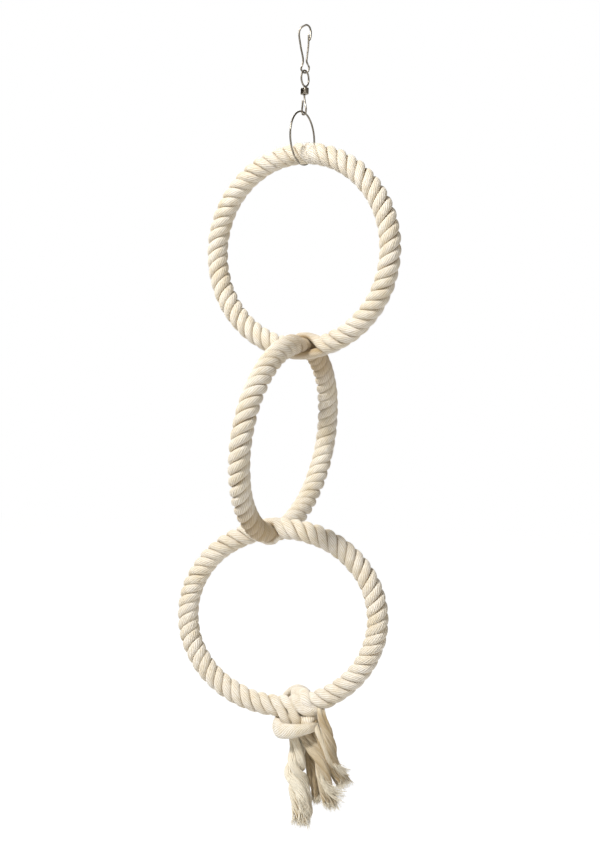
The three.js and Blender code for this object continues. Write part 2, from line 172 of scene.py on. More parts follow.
def turned(vector, axis, degrees):
    return np.array(Matrix.Rotation(math.radians(degrees), 3, Vector(axis)) @ Vector(vector))


def soft_step(share):
    share = np.clip(share, 0, 1)
    return share * share * (3 - 2 * share)


def bump(distance, flat, reach):
    outside = np.clip((np.abs(distance) - flat) / (reach - flat), 0, 1)
    return np.cos(outside * QUARTER) ** 2


def lengths_along(line):
    steps = np.linalg.norm(np.diff(line, axis=0), axis=1)
    return np.concatenate([[0], np.cumsum(steps)])


def resampled(line, values, step):
    """The line at even steps, with each of the values that belong to its points"""
    lengths = lengths_along(line)
    count = max(2, int(round(lengths[-1] / step)) + 1)
    even = np.linspace(0, lengths[-1], count)
    spread = lambda column: np.interp(even, lengths, column)
    points = np.stack([spread(line[:, axis]) for axis in range(3)], axis=1)
    return points, [
        np.stack([spread(value[:, axis]) for axis in range(3)], axis=1) if value.ndim == 2 else spread(value)
        for value in values
    ]


def smooth_line(points, step):
    """An even line through given points, bent as a limp thing bends"""
    points = np.array(points, float)
    ends = np.vstack([2 * points[0] - points[1], points, 2 * points[-1] - points[-2]])
    pieces = []
    for before, start, end, after in zip(ends, ends[1:], ends[2:], ends[3:]):
        share = np.linspace(0, 1, 24, endpoint=False)[:, None]
        knots = [0.0]
        for near, far in ((before, start), (start, end), (end, after)):
            knots.append(knots[-1] + math.sqrt(np.linalg.norm(far - near)))
        at = knots[1] + (knots[2] - knots[1]) * share
        mix = lambda a, b, low, high: a * (knots[high] - at) / (knots[high] - knots[low]) \
            + b * (at - knots[low]) / (knots[high] - knots[low])
        left, middle, right = mix(before, start, 0, 1), mix(start, end, 1, 2), mix(end, after, 2, 3)
        pieces.append(mix(mix(left, middle, 0, 2), mix(middle, right, 1, 3), 1, 2))
    return resampled(np.vstack(pieces + [points[-1:]]), [], step)[0]


def wander(lengths, amount, wavelength):
    """A small smooth irregularity along a length"""
    total = np.zeros_like(lengths)
    for share in WAVES:
        total += share * np.sin(TURN * (lengths / (wavelength * share) + draw.random()))
    return amount * total / sum(WAVES)


# Meshes

def linked(name, data):
    made = bpy.data.objects.new(name, data)
    bpy.context.scene.collection.objects.link(made)
    return made


def add_mesh(name, vertices, quads, triangles, marks, uv):
    mesh = bpy.data.meshes.new(name)
    corners = np.concatenate([np.ravel(quads), np.ravel(triangles)]).astype(np.int32)
    sizes = np.concatenate([np.full(len(quads), 4), np.full(len(triangles), 3)]).astype(np.int32)
    mesh.vertices.add(len(vertices))
    mesh.vertices.foreach_set("co", np.ravel(vertices).astype(np.float32))
    mesh.loops.add(len(corners))
    mesh.loops.foreach_set("vertex_index", corners)
    mesh.polygons.add(len(sizes))
    mesh.polygons.foreach_set("loop_start", np.concatenate([[0], np.cumsum(sizes)[:-1]]).astype(np.int32))
    mesh.update(calc_edges=True)
    mesh.polygons.foreach_set("use_smooth", np.ones(len(sizes), bool))
    for label, values in marks.items():
        layer = mesh.attributes.new(label, "FLOAT", "POINT")
        layer.data.foreach_set("value", np.ravel(values).astype(np.float32))
    layer = mesh.uv_layers.new(name="along")
    layer.data.foreach_set("uv", np.ravel(uv).astype(np.float32))
    mesh.validate()
    return linked(name, mesh)


def tube_faces(rings, sides, first=0):
    """Quads between rings of corners, and a fan of triangles over each end"""
    ring, side = np.meshgrid(np.arange(rings - 1), np.arange(sides), indexing="ij")
    here, after = ring * sides, (ring + 1) * sides
    following = (side + 1) % sides
    quads = np.stack([here + side, here + following, after + following, after + side], axis=-1).reshape(-1, 4)
    around = np.arange(sides)
    last = (rings - 1) * sides
    near = np.stack([np.full(sides, rings * sides), (around + 1) % sides, around], axis=1)
    far = np.stack([np.full(sides, rings * sides + 1), last + around, last + (around + 1) % sides], axis=1)
    return quads + first, np.vstack([near, far]) + first


def tube_uv(lengths, sides):
    """Length along and share around for the corners of tube_faces"""
    ring, side = np.meshgrid(np.arange(len(lengths) - 1), np.arange(sides), indexing="ij")
    along = np.stack([lengths[ring], lengths[ring], lengths[ring + 1], lengths[ring + 1]], axis=-1)
    around = np.stack([side, side + 1, side + 1, side], axis=-1) / sides
    quads = np.stack([along, around], axis=-1).reshape(-1, 2)
    fans = np.zeros((2 * sides * 3, 2))
    fans[3 * sides:, 0] = lengths[-1]
    return np.vstack([quads, fans])


def strand_corners(line, outward, half_out, half_side, twist, yarns, depth):
    """Corners of a strand whose yarns show, how far each faces outward, and the groove round the strand"""
    sides = yarns * CORNERS_PER_YARN
    along = unit(np.gradient(line, axis=0))
    outward = square_to(outward, along)
    sideways = np.cross(along, outward)
    angle = np.arange(sides)[None, :] / sides * TURN + twist[:, None]
    cosine, sine = np.cos(angle), np.sin(angle)
    across = np.sign(cosine) * np.abs(cosine) ** (2 / FLATNESS) * half_out[:, None]
    beside = np.sign(sine) * np.abs(sine) ** (2 / FLATNESS) * half_side[:, None]
    groove = 1 - np.abs(np.cos(np.arange(sides) / CORNERS_PER_YARN * math.pi))
    shrink = 1 - groove * depth / np.sqrt(across ** 2 + beside ** 2)
    corners = line[:, None, :] + outward[:, None, :] * (across * shrink)[:, :, None] \
        + sideways[:, None, :] * (beside * shrink)[:, :, None]
    return corners, cosine, groove


def add_strand(name, line, outward, half_out, half_side, twist, yarns=YARNS, depth=YARN_DEPTH,
               press=None, laid=1.0, darkening=0.0):
    """A strand of twisted yarns; where it is laid with others, its inner side is marked with painted shade"""
    corners, facing, groove = strand_corners(line, outward, half_out, half_side, twist, yarns, depth)
    if press is not None:
        corners = press(corners)
    count, sides = corners.shape[:2]
    # Painted shade: on the sheltered inner side, in the grooves between yarns, and where the strand is
    # darkened
    inner = soft_step((SHELTER_START - facing) / SHELTER_FADE) * np.reshape(laid, (-1, 1))
    painted_shade = np.clip(SHELTER_DARK * inner + GROOVE_DARK * groove + np.reshape(darkening, (-1, 1)), 0, 1)
    tones = np.repeat(draw.random(yarns), CORNERS_PER_YARN) + TONE_NOISE * draw.standard_normal((count, 1))
    vertices = np.vstack([corners.reshape(-1, 3), line[:1], line[-1:]])
    quads, fans = tube_faces(count, sides)
    marks = {
        "painted_shade": np.concatenate([painted_shade.ravel(), [1, 1]]),
        "yarn": np.concatenate([np.clip(tones, 0, 1).ravel(), [0.5, 0.5]]),
    }
    return add_mesh(name, vertices, quads, fans, marks, tube_uv(lengths_along(line), sides))


def joined(name, tubes):
    """One mesh of many thin round tubes: each is a line, its radii, its sides and how much painted shade it
    has
    """
    vertices, quads, fans, uvs, fan_uvs, painted_shades, tones, first = [], [], [], [], [], [], [], 0
    for line, radius, sides, painted_shade in tubes:
        along = unit(np.gradient(line, axis=0))
        outward = square_to(np.broadcast_to(TUBE_SEAM, line.shape), along)
        sideways = np.cross(along, outward)
        angle = (np.arange(sides) / sides * TURN)[None, :, None]
        spokes = outward[:, None, :] * np.cos(angle) + sideways[:, None, :] * np.sin(angle)
        corners = line[:, None, :] + radius[:, None, None] * spokes
        vertices.append(np.vstack([corners.reshape(-1, 3), line[:1], line[-1:]]))
        faces, ends = tube_faces(len(line), sides, first)
        uv = tube_uv(lengths_along(line), sides)
        quads.append(faces)
        fans.append(ends)
        uvs.append(uv[:len(faces) * 4])
        fan_uvs.append(uv[len(faces) * 4:])
        painted_shades.append(np.concatenate([np.repeat(painted_shade, sides), painted_shade[:1], painted_shade[-1:]]))
        tones.append(np.full(len(vertices[-1]), draw.random()))
        first += len(vertices[-1])
    marks = {"painted_shade": np.concatenate(painted_shades), "yarn": np.concatenate(tones)}
    return add_mesh(name, np.vstack(vertices), np.vstack(quads), np.vstack(fans), marks,
                    np.vstack(uvs + fan_uvs))


# Rings

class Ring:
    """The middle line of a rope ring, an upright oval, as it is in the solids"""

    def __init__(self, name, width, height, yaw, joint, lean=0, turn=0):
        self.name = name
        self.half_width, self.half_height = width * MM / 2, height * MM / 2
        self.tangent = heading(yaw)
        back = np.cross(up, self.tangent)
        self.upward = up * math.cos(math.radians(lean)) + back * math.sin(math.radians(lean))
        self.normal = np.cross(self.tangent, self.upward)
        self.right = turned(self.tangent, self.normal, turn)
        self.rise = turned(self.upward, self.normal, turn)
        self.mean_radius = (self.half_width + self.half_height) / 2
        self.joint = math.radians(joint)
        self.centre = np.zeros(3)

    def outward(self, angle):
        angle = np.asarray(angle)[..., None]
        across = self.right * np.sin(angle) / self.half_width
        return unit(across + self.rise * np.cos(angle) / self.half_height)

    def point(self, angle):
        angle = np.asarray(angle)[..., None]
        across = self.right * self.half_width * np.sin(angle)
        return self.centre + across + self.rise * self.half_height * np.cos(angle)

    def distance(self, angle, other):
        return ((angle - other + math.pi) % TURN - math.pi) * self.mean_radius

    def move_so(self, angle, target):
        self.centre = self.centre + target - self.point(angle)


rings = {name: Ring(name, **sizes) for name, sizes in ROPE_SIZES.items()}
rings["top"].move_so(0, joint_places["top_ring_swing"]
                     + rings["top"].upward * (WIRE_RADIUS + GAP + SEATED_RADIUS))
rings["middle"].move_so(0, joint_places["middle_ring_swing"])
rings["bottom"].move_so(BOTTOM_CROSSING, joint_places["bottom_ring_swing"]
                        + rings["bottom"].outward(BOTTOM_CROSSING) * CROSSING_SAG)

EYES = {"top": math.pi, "bottom": TURN + BOTTOM_CROSSING}
EYE_SHIFTS = {"top": -2 * MM, "bottom": -0.8 * MM}  # of the single strand's bend along the ring
# How far the opened strands are drawn out or in on the side before the eye and on the one after it
EYE_SIDES = {"top": (1.45, 1.0), "bottom": (1.0, 0.62)}
EYE_SHADE = {"top": 0.3, "bottom": 0.0}  # how much painted shade darkens the opened strands
EYE_SHADE_FLAT, EYE_SHADE_REACH = 4 * MM, 15 * MM
# Where another ring's strands grip the rope: the angle, the shares of its thickness and width that
# are left, and how far it is pushed towards the ring's front
SQUEEZES = {"middle": ((0.0, 0.66, 1.02, 1.4 * MM), (math.pi, 0.66, 0.8, -0.3 * MM))}


def from_eye(ring, angles, eye):
    distance = ring.distance(angles, eye)
    before, after = EYE_SIDES[ring.name]
    return np.where(distance < 0, distance / before, distance / after)


def phase_along(ring, angles, eye, anchors):
    """How far the lay has turned at each angle. It stands still in the opened strands, and runs a
    little faster or slower between the anchors so that a strand lies where each anchor says."""
    rate = np.full(len(angles), 1 / LAY)
    if eye is not None:
        rate *= 1 - bump(from_eye(ring, angles, eye), EYE_FLAT, EYE_STILL)
    for squeeze, *_ in SQUEEZES.get(ring.name, ()):
        rate *= 1 + SQUEEZE_HURRY * bump(ring.distance(angles, squeeze), SQUEEZE_FLAT, SQUEEZE_REACH)
    turns = np.cumsum(rate * (np.gradient(angles) * ring.mean_radius))
    at = [nearest(angles, angle) for angle, _ in anchors]
    third = 1 / 3
    for (first, start), (second, wanted) in zip(zip(at, anchors), zip(at[1:], anchors[1:])):
        made = turns[second] - turns[first]
        share = (wanted[1] - start[1]) / TURN
        needed = share + third * round((made - share) / third)
        tail = turns[second:] - turns[second]
        turns[first:second] = turns[first] + (turns[first:second] - turns[first]) * (needed / made)
        turns[second:] = turns[first] + needed + tail
    if ring.name != "bottom":
        whole = (turns[-1] - turns[0]) * TURN / (angles[-1] - angles[0])
        turns *= round(3 * whole) / 3 / whole
    if not anchors:
        return turns * TURN
    return (turns - turns[at[0]]) * TURN + anchors[0][1]


def ring_strands(name):
    """A ring's three strands: for each the STRAND_VALUES, the phase of its lay and the length from the
    ring's joint, all at the same points"""
    ring = rings[name]
    eye = EYES.get(name)
    count = int(TURN * ring.mean_radius / RING_STEP)
    start = ring.joint - (OVERRUN if name == "bottom" else JOINT_OVERLAP) / ring.mean_radius
    angles = np.linspace(start, ring.joint + TURN + JOINT_OVERLAP / ring.mean_radius, count)
    anchors = []
    if eye is not None:
        eye_angle = eye if eye > ring.joint else eye + TURN
        anchors = [(eye_angle, math.pi)]
    if name == "bottom":
        anchors = [(ring.joint + LEFT_FRONT / ring.mean_radius, QUARTER), *anchors,
                   (ring.joint + TURN - RIGHT_FRONT / ring.mean_radius, QUARTER)]
    phase = phase_along(ring, angles, eye, anchors)
    middle = ring.point(angles)
    outward = ring.outward(angles)
    front = np.cross(unit(np.gradient(middle, axis=0)), outward)
    lengths = lengths_along(middle)
    steady = soft_step(np.minimum(lengths, lengths[-1] - lengths) / STEADY_END)
    tall, wide, pushed, darkening = np.ones(count), np.ones(count), np.zeros(count), np.zeros(count)
    for squeeze, tall_share, wide_share, push in SQUEEZES.get(name, ()):
        distance = ring.distance(angles, squeeze)
        share = bump(distance, SQUEEZE_FLAT, SQUEEZE_REACH)
        tall *= 1 - (1 - tall_share) * share
        wide *= 1 - (1 - wide_share) * share
        pushed += push * share
        # painted shade beside the grip
        darkening += SQUEEZE_SHADE * bump(distance - SQUEEZE_SHADE_SHIFT, SQUEEZE_SHADE_FLAT, SQUEEZE_SHADE_REACH)
    fused = np.zeros(count)
    if name != "bottom":
        fused = bump(ring.distance(angles, ring.joint), JOINT_FLAT, JOINT_SPREAD)
    if eye is not None:
        # painted shade on the opened strands round the eye
        darkening += EYE_SHADE[name] * bump(from_eye(ring, angles, eye), EYE_SHADE_FLAT, EYE_SHADE_REACH)
        opened = bump(from_eye(ring, angles, eye), EYE_FLAT, EYE_REACH)
        at_eye = float(np.interp(eye_angle, angles, phase))
    strands = []
    for number in range(3):
        angle = phase + number * TURN / 3 + wander(lengths, *ANGLE_WANDER) * steady
        cosine, sine = np.cos(angle), np.sin(angle)
        spiral = STRAND_SPIRAL * (1 - FUSED_IN * fused) * (1 + wander(lengths, *SPIRAL_WANDER) * steady)
        across, forward = cosine * spiral * tall, sine * spiral * wide + pushed
        half_out = STRAND_HALF_OUT * np.hypot(cosine * tall, sine * wide) * (1 + FUSED_OUT * fused)
        half_out *= 1 + wander(lengths, *OUT_WANDER) * steady
        half_side = STRAND_HALF_SIDE * np.hypot(sine * tall, cosine * wide) * (1 + FUSED_SIDE * fused)
        half_side *= 1 + wander(lengths, *SIDE_WANDER) * steady
        away = unit(outward * cosine[:, None] + front * sine[:, None])
        if eye is not None:
            own = at_eye + number * TURN / 3
            single = math.cos(own) < 0
            facing = -1 if single else 1
            thick, broad, sink, aside = EYE_STRANDS["single" if single else "pair"]
            lifted = opened
            if single:
                bend = eye + EYE_SHIFTS[name] / ring.mean_radius
                lifted = bump(from_eye(ring, angles, bend), SINGLE_FLAT, SINGLE_REACH)
            across = blend(across, facing * (GRIP + EYE_SLACK - sink + thick) - CROSSING_SAG, lifted)
            forward = blend(forward, math.copysign(aside, math.sin(own)), opened)
            half_out = blend(half_out, thick, opened)
            half_side = blend(half_side, broad, opened)
            away = unit(blend(away, outward * facing, opened[:, None]) + 1e-9)
        strands.append({
            "line": middle + outward * across[:, None] + front * forward[:, None],
            "away": away, "out": half_out, "side": half_side, "laid": 1 - FUSED_LAID * fused, "darkening": darkening,
            "phase": angle, "from_joint": (angles - ring.joint) * ring.mean_radius,
        })
    return strands


# Knot. Places are along the ring, to the back, and up from the knot's middle on the ring.

knot_centre = rings["bottom"].point(rings["bottom"].joint)


def knot_place(along, back, rise):
    ring = rings["bottom"]
    return knot_centre + (ring.tangent * along - ring.normal * back + up * rise) * MM


def knot_line(points, step=STRAND_STEP):
    return smooth_line([knot_place(*point) for point in points], step)


# The strand that arches up behind the ring and binds the strand ends, on the line that it has in the
# solids: a place on its route, then its half thickness and half width there
BAND_ROUTE = [
    (6.4, 10.9, -2.0, 2.4, 3.3), (2.6, 10.9, 5.6, 2.4, 3.4), (-2.6, 10.9, 7.9, 2.3, 3.5),
    (-7.6, 10.9, 5.6, 2.3, 3.5), (-11.0, 10.6, 0.4, 2.4, 3.5), (-11.8, 9.6, -6.6, 2.8, 3.7),
    (-11.8, 3.0, -11.9, 2.9, 4.2), (-10.8, -4.4, -12.8, 2.9, 4.6), (-7.2, -8.8, -14.0, 2.9, 4.8),
    (-1.0, -10.0, -13.6, 2.9, 4.4), (5.0, -9.8, -12.4, 2.8, 3.7), (9.8, -8.6, -11.2, 2.5, 3.0),
    (12.8, -4.2, -10.6, 2.3, 2.7), (12.8, 2.4, -10.4, 2.3, 2.7), (10.0, 8.4, -10.6, 2.3, 2.7),
    (4.6, 10.9, -10.7, 2.3, 2.7),
]

# How each strand goes on into the knot after its last place on the ring: how far that is from the
# knot's middle, to how many times its width it swells, and its way. The left end's strands leave at
# the rope's front and go down behind the binding strand.
LEFT_DIVES = [
    (9.4, 1.05, [(-6.4, -4.4, -6.2), (-4.8, -3.8, -9.8), (-3.6, -2.2, -14.5)]),
    (2.6, 1.08, [(0.1, -4.7, -5.2), (1.6, -4.3, -9.2), (1.6, -2.2, -14.5)]),
    (0.9, 1.22, [(0.9, -3.4, 2.6), (3.4, -4.5, 0.4), (6.4, -5.0, -1.3), (9.6, -4.2, -1.6),
                 (12.4, -1.6, -1.0)]),
]
# The right end's strands: the first goes over the rope's top and tucks in behind, the second goes
# down at the back, and the third comes down under the ring's rounded end.
RIGHT_DIVES = [
    (8.6, 1.3, [(7.0, -3.9, 4.4), (5.0, -1.0, 6.6), (3.0, 3.0, 6.4), (-0.4, 5.6, 6.0), (-4.6, 6.2, 5.0)]),
    (3.8, 1.0, [(3.0, 4.8, -3.8), (2.2, 4.6, -9.6), (1.2, 3.6, -14.5)]),
    (10.6, 1.4, [(10.2, 2.6, -2.6), (9.6, -1.6, -4.8), (8.8, -4.4, -7.2), (8.0, -4.6, -10.4),
                 (7.2, -4.0, -14.0)]),
]
DIVE_STEP = 0.5 * MM
SWELLING = 5 * MM  # the length over which a strand swells
SWELL_OUT = 0.4  # the share of its swelling that also thickens it
LAYING = 7 * MM  # the length over which it is laid with the others again


def led_in(strand, cut, swell, dive, at_start):
    """One strand of the bottom ring from its cut on, with its way into the knot before or after it"""
    keep = slice(cut, None) if at_start else slice(None, cut + 1)
    turn = 1 if at_start else -1
    line, away, out, side, laid, darkening = (strand[value][keep][::turn] for value in STRAND_VALUES)
    way = smooth_line([knot_place(*point) for point in reversed(dive)] + [line[0], line[6]], DIVE_STEP)
    way = way[:int(np.argmin(np.linalg.norm(way - line[0], axis=1)))]
    carried, last = [], away[0]
    for tangent in unit(np.gradient(way, axis=0))[::-1]:
        last = unit(last - tangent * np.dot(last, tangent))
        carried.append(last)
    swollen = 1 + (swell - 1) * soft_step((lengths_along(way)[-1] - lengths_along(way)) / SWELLING)
    values = [
        np.vstack([way, line]), np.vstack([carried[::-1], away]),
        np.concatenate([out[0] * blend(1, swollen, SWELL_OUT), out]),
        np.concatenate([side[0] * swollen, side]),
        np.concatenate([np.zeros(len(way)), laid * soft_step(lengths_along(line) / LAYING)]),
        np.concatenate([np.zeros(len(way)), darkening]),
    ]
    return {name: value[::turn] for name, value in zip(STRAND_VALUES, values)}


def bottom_strands():
    """The bottom ring's strands, each led into the knot at both ends"""
    strands = ring_strands("bottom")
    whole = TURN * rings["bottom"].mean_radius
    reach = strands[0]["from_joint"]
    at_front = nearest(reach, whole - RIGHT_FRONT)
    first = int(np.argmax([math.cos(strand["phase"][at_front] - QUARTER) for strand in strands]))
    led = []
    for number, strand in enumerate(strands):
        right_cut, *right_way = RIGHT_DIVES[(number - first) % 3]
        left_cut, *left_way = LEFT_DIVES[number]
        end, begin = nearest(reach, whole - right_cut * MM), nearest(reach, left_cut * MM)
        led.append(led_in(led_in(strand, end, *right_way, False), begin, *left_way, True))
    return led


# Tails: routes of the four strand ends as in the solids, and their half widths and half depths
TAIL_ROUTES = {
    "left": [
        (-3, -2, -7.6), (-2.8, -1.9, -11), (-1.4, -1.9, -15.2), (0.6, -1.9, -20.6), (2, -1.9, -25.9),
        (2.1, -1.9, -30.1), (1.1, -1.9, -35.1), (0.9, -1.9, -40), (2.2, -1.9, -44.7), (3.7, -1.9, -49.4),
        (5, -2, -54), (5.9, -1.8, -58.7), (6.1, -1.5, -63.6), (5.7, -1.4, -67), (5.2, -1.3, -70.5),
    ],
    "front": [
        (4.8, -2, -7.6), (5, -1.8, -11), (6.4, -2, -14.6), (9.2, -2.4, -18.4), (12.1, -3, -22.3),
        (14.9, -4, -25.9), (16.9, -4.6, -29.1), (18.3, -5, -32.5), (19.3, -5.3, -35.9), (20.2, -5.5, -39.3),
        (21, -5.5, -42.8), (21.8, -5.5, -46.3), (22.6, -5.4, -49.8), (23.2, -5.2, -53.4), (23.6, -5, -57.5),
    ],
    "right": [
        (15.8, -3.6, -1.4), (17.4, -6.2, -4.8), (19.6, -8.2, -8.4), (21.6, -9, -11.9), (23, -9.2, -15),
        (23.7, -8.7, -18), (24, -7.7, -21.3), (24.1, -6.3, -24.6), (24.3, -4.8, -27.6), (24.9, -3.3, -30.6),
        (25.7, -2, -33.6), (26.8, -0.8, -36.8), (28, 0, -39.6), (29.2, 0.4, -42.2), (30.2, 0.6, -44.8),
    ],
    "back": [
        (0.8, 4, -7.6), (0.8, 4.2, -11.5), (1.3, 4.4, -15.5), (2.8, 4.5, -20), (4.9, 4.6, -24.2),
        (6.7, 4.7, -27.5), (8.4, 4.8, -31), (9.8, 5, -34.6), (10.7, 5.2, -38.4), (11.1, 5.4, -42.2),
        (11.2, 5.4, -46), (11.5, 5.4, -49.4), (11.9, 5.4, -52.4), (12.3, 5.3, -55.2), (12.7, 5.2, -58),
    ],
}
# Where each tail comes from, inside the knot
LEADS = {
    "left": [(-3.2, -2, -5)], "front": [(4.6, -2, -5)], "right": [(13.6, 1.6, 3.4), (14.8, -1, 1.4)],
    "back": [(0.8, 3.8, -5)],
}
# For each tail: diameter, then half widths and half depths at even places from its start to its end,
# its plies' first place round it and how far they turn, how much painted shade they carry, and how far
# its yarns spread to the left and right at the frayed end
TAILS = {
    "left": {
        "diameter": 9.2, "wide": (3.6, 3.6, 3.9, 4.6, 5.4, 6.2, 6.7, 7.0, 7.2, 7.2, 7.0, 6.4, 5.2),
        "deep": (3.3, 3.3, 3.6, 4.1, 4.5, 4.8, 4.8, 4.6, 4.4, 4.2, 3.8, 3.4, 3.0), "turns": (0.0, 0.85),
        "shade": 0.1, "fan": (1.5, 2.8),
    },
    "front": {
        "diameter": 8.3, "wide": (3.4, 3.8, 4.8, 5.5, 5.5, 5.2, 5.0, 5.0, 5.0, 5.0, 4.8, 4.4),
        "deep": (3.1, 3.2, 3.5, 3.8, 3.8, 3.8, 3.8, 3.8, 3.7, 3.5, 3.2, 2.9), "turns": (0.1, 0.45),
        "shade": 0.72, "fan": (1.0, 2.0),
    },
    "right": {
        "diameter": 7.6, "wide": (2.4, 2.6, 3.0, 3.3, 3.5, 3.5, 3.5, 3.6, 3.9, 4.4, 4.8, 4.8),
        "deep": (2.0, 2.3, 2.8, 3.1, 3.2, 3.2, 3.1, 3.0, 3.0, 3.0, 2.9, 2.6), "turns": (0.3, 0.6),
        "shade": 0.92, "fan": (1.6, 2.2),
    },
    "back": {
        "diameter": 7.0, "wide": (3.0, 3.2, 3.6, 3.8, 3.4, 2.9, 2.7, 2.7, 2.9),
        "deep": (2.6, 2.8, 3.1, 3.2, 3.1, 3.0, 2.9, 2.8, 2.6), "turns": (0.6, 0.5), "shade": 1.0,
        "fan": (1.0, 1.0),
    },
}
TAIL_STEP = 0.8 * MM
PLIES = 3
YARNS_PER_PLY = 13
# Shares of a tail's half width: a ply's own half width, and how far its middle lies out. Shares of a
# ply's half width: how far out its yarns lie, and the half widths of a yarn and of the core inside them
PLY_SHARE = 0.5
YARN_RING, YARN_SHARE, CORE_SHARE = 0.78, 0.215, 0.68
YARN_TURNS = 1.6
MIDDLE_TURN = 0.65  # the share of its plies' turn that a tail makes about its middle
PLY_OFFSET = 0.13  # of a turn, from one ply's yarns to the next one's
FRAYED = 0.28  # the share of a tail's length over which it opens
SPREAD_POWER = 1.5
RIGHTWARD = 0.55  # the share of its yarns that spread to the right
HELD_SHARE = 0.94  # of its line, up to where the first of its yarns ends
YARN_WANDER = 0.12 * MM
YARN_NECK = 0.05  # the share of the length over which a yarn thins at its end
KNOT_SHADE = 0.15
KNOT_SHADE_LENGTH = 16 * MM
FIBRES_PER_YARN = 12
FIBRE_LENGTH = {"left": 3.2, "front": 3.0, "right": 3.4, "back": 2.8}
FIBRE_POINTS = 6

# Wisps that stray from a tail: how many, and places on the middle one
WISP_RADIUS = 0.24 * MM
WISPS = {
    "left": (50, [(3.0, -2.4, -47), (6.4, -5.4, -55), (9.6, -5.4, -60.5), (11.4, -5, -65)]),
    "front": (80, [(17.6, -6.4, -36), (21.4, -9.2, -43.2), (27, -9.8, -46.4), (35.5, -8.8, -48.4)]),
    "right": (70, [(23, -3.4, -25), (25.6, -4.2, -31.5), (29.8, -3, -35.4), (35.8, -1.6, -38.4)]),
}
# Thin plies that hang beside a tail: how much painted shade each carries, its half thickness, and its places
SIDE_PLIES = {
    "right": [
        (0.35, 1.9, [(12.8, -3.2, -9.6), (14.4, -6, -11.4), (16.8, -7.8, -14.7), (19, -8, -18.7),
                     (20.9, -7.6, -22.8), (22.3, -6.4, -27.7), (23.8, -4.5, -32), (25.4, -2.2, -36)]),
        (1.0, 2.6, [(11.8, -3, -7.9), (13.4, -3.4, -12.5), (15.6, -3.8, -17), (18.0, -4, -21.6),
                    (20.2, -3.8, -26.2), (22.2, -3.4, -30.8), (24.2, -2.4, -35), (25.8, -1.2, -38.5)]),
    ],
    "back": [
        (0.85, 1.6, [(3.6, 2.6, -20), (5.5, 2.9, -27.4), (6.7, 3, -32), (7.5, 3.1, -36.8), (8.2, 3.3, -41.6),
                     (9.2, 3.8, -46.5), (10.4, 4.6, -51.5)]),
    ],
}
SIDE_PLY_YARNS = 8
SIDE_PLY_PITCH = 17 * MM
SIDE_PLY_TAPER = 9 * MM
# Shares of a side ply's half thickness, as above
SIDE_YARN_RING, SIDE_YARN_SHARE, SIDE_CORE_SHARE = 0.67, 0.33, 0.45


def right_and_front(line):
    """The directions square to a hanging line that are to its right and its front"""
    along = unit(np.gradient(line, axis=0))
    rightward = square_to(np.broadcast_to([1.0, 0, 0], line.shape), along)
    return rightward, np.cross(along, rightward)


def tail_tubes(side):
    """One tail's middle line, its yarns, and where, which way and how thick each yarn ends"""
    sizes = TAILS[side]
    line = knot_line(LEADS[side] + TAIL_ROUTES[side], TAIL_STEP)
    lengths = lengths_along(line)
    share = lengths / lengths[-1]
    rightward, forward = right_and_front(line)
    places = np.linspace(0, 1, len(sizes["wide"]))
    wide = np.interp(share, places, sizes["wide"]) * MM
    deep = np.interp(share, places, sizes["deep"]) * MM
    start, turns = sizes["turns"]
    turning = start + turns * blend(share, soft_step((share - 0.3) / 0.4), MIDDLE_TURN)
    opening = soft_step((share - 1 + FRAYED) / FRAYED)
    spreading = opening ** SPREAD_POWER
    shade = blend(KNOT_SHADE, sizes["shade"], soft_step(lengths / KNOT_SHADE_LENGTH))
    yarns, ends = [], []
    for ply in range(PLIES):
        ply_angle = -TURN * (turning + ply / PLIES)
        for yarn in range(YARNS_PER_PLY + 1):
            core = yarn == YARNS_PER_PLY
            own = -TURN * (YARN_TURNS * share + yarn / YARNS_PER_PLY + PLY_OFFSET * ply)
            out = 0.0 if core else YARN_RING
            loose = 1 + 0.10 * opening * draw.normal()
            x = wide * PLY_SHARE * (np.cos(ply_angle) + out * np.cos(own)) * loose
            y = deep * PLY_SHARE * (np.sin(ply_angle) + out * np.sin(own)) * loose
            spread = sizes["fan"][1] if draw.random() < RIGHTWARD else -sizes["fan"][0]
            x = x + spreading * spread * draw.random() * MM + wander(lengths, YARN_WANDER, 11 * MM)
            y = y + spreading * draw.normal() * 0.7 * MM + wander(lengths, YARN_WANDER, 13 * MM)
            stop = int(len(line) * drawn(1, HELD_SHARE))
            path = (line + rightward * x[:, None] + forward * y[:, None])[:stop]
            radius = (0.5 * (wide + deep) * PLY_SHARE * (CORE_SHARE if core else YARN_SHARE))[:stop]
            radius *= 1 - 0.35 * soft_step((share[:stop] - share[stop - 1] + YARN_NECK) / YARN_NECK)
            # Painted shade: light near the knot, then the tail's own level, with a random tone a yarn; core
            # yarns get full painted shade
            tint = shade[:stop] + 0.13 * draw.normal() + wander(lengths[:stop], 0.12, 14 * MM)
            yarns.append((path, radius, 6, np.ones(stop) if core else np.clip(tint, 0, 1)))
            ends.append((path[-1], unit(path[-1] - path[-6]), radius[-1]))
    return line, yarns, ends


def fibres(ends, length):
    """Loose fibres that splay from the cut ends of yarns, a little more to the right"""
    tubes = []
    rightward = np.array([1, 0, 0])
    share = np.linspace(0, 1, FIBRE_POINTS)[:, None]
    for place, direction, radius in ends:
        for _ in range(FIBRES_PER_YARN):
            reach = length * drawn(0.45, 1.35) * MM
            aim = unit(direction + rightward * drawn(0, 0.21) + draw.normal(size=3) * 0.22)
            curl = draw.normal(size=3) * 0.25
            start = place - direction * 0.8 * MM + draw.normal(size=3) * radius * 0.45
            path = start + aim * reach * share + curl * reach * share ** 2
            thick = drawn(0.08, 0.15) * MM
            taper = np.linspace(thick, 0.4 * thick, FIBRE_POINTS)
            # a little painted shade
            tubes.append((path, taper, 4, np.full(FIBRE_POINTS, 0.1)))
    return tubes


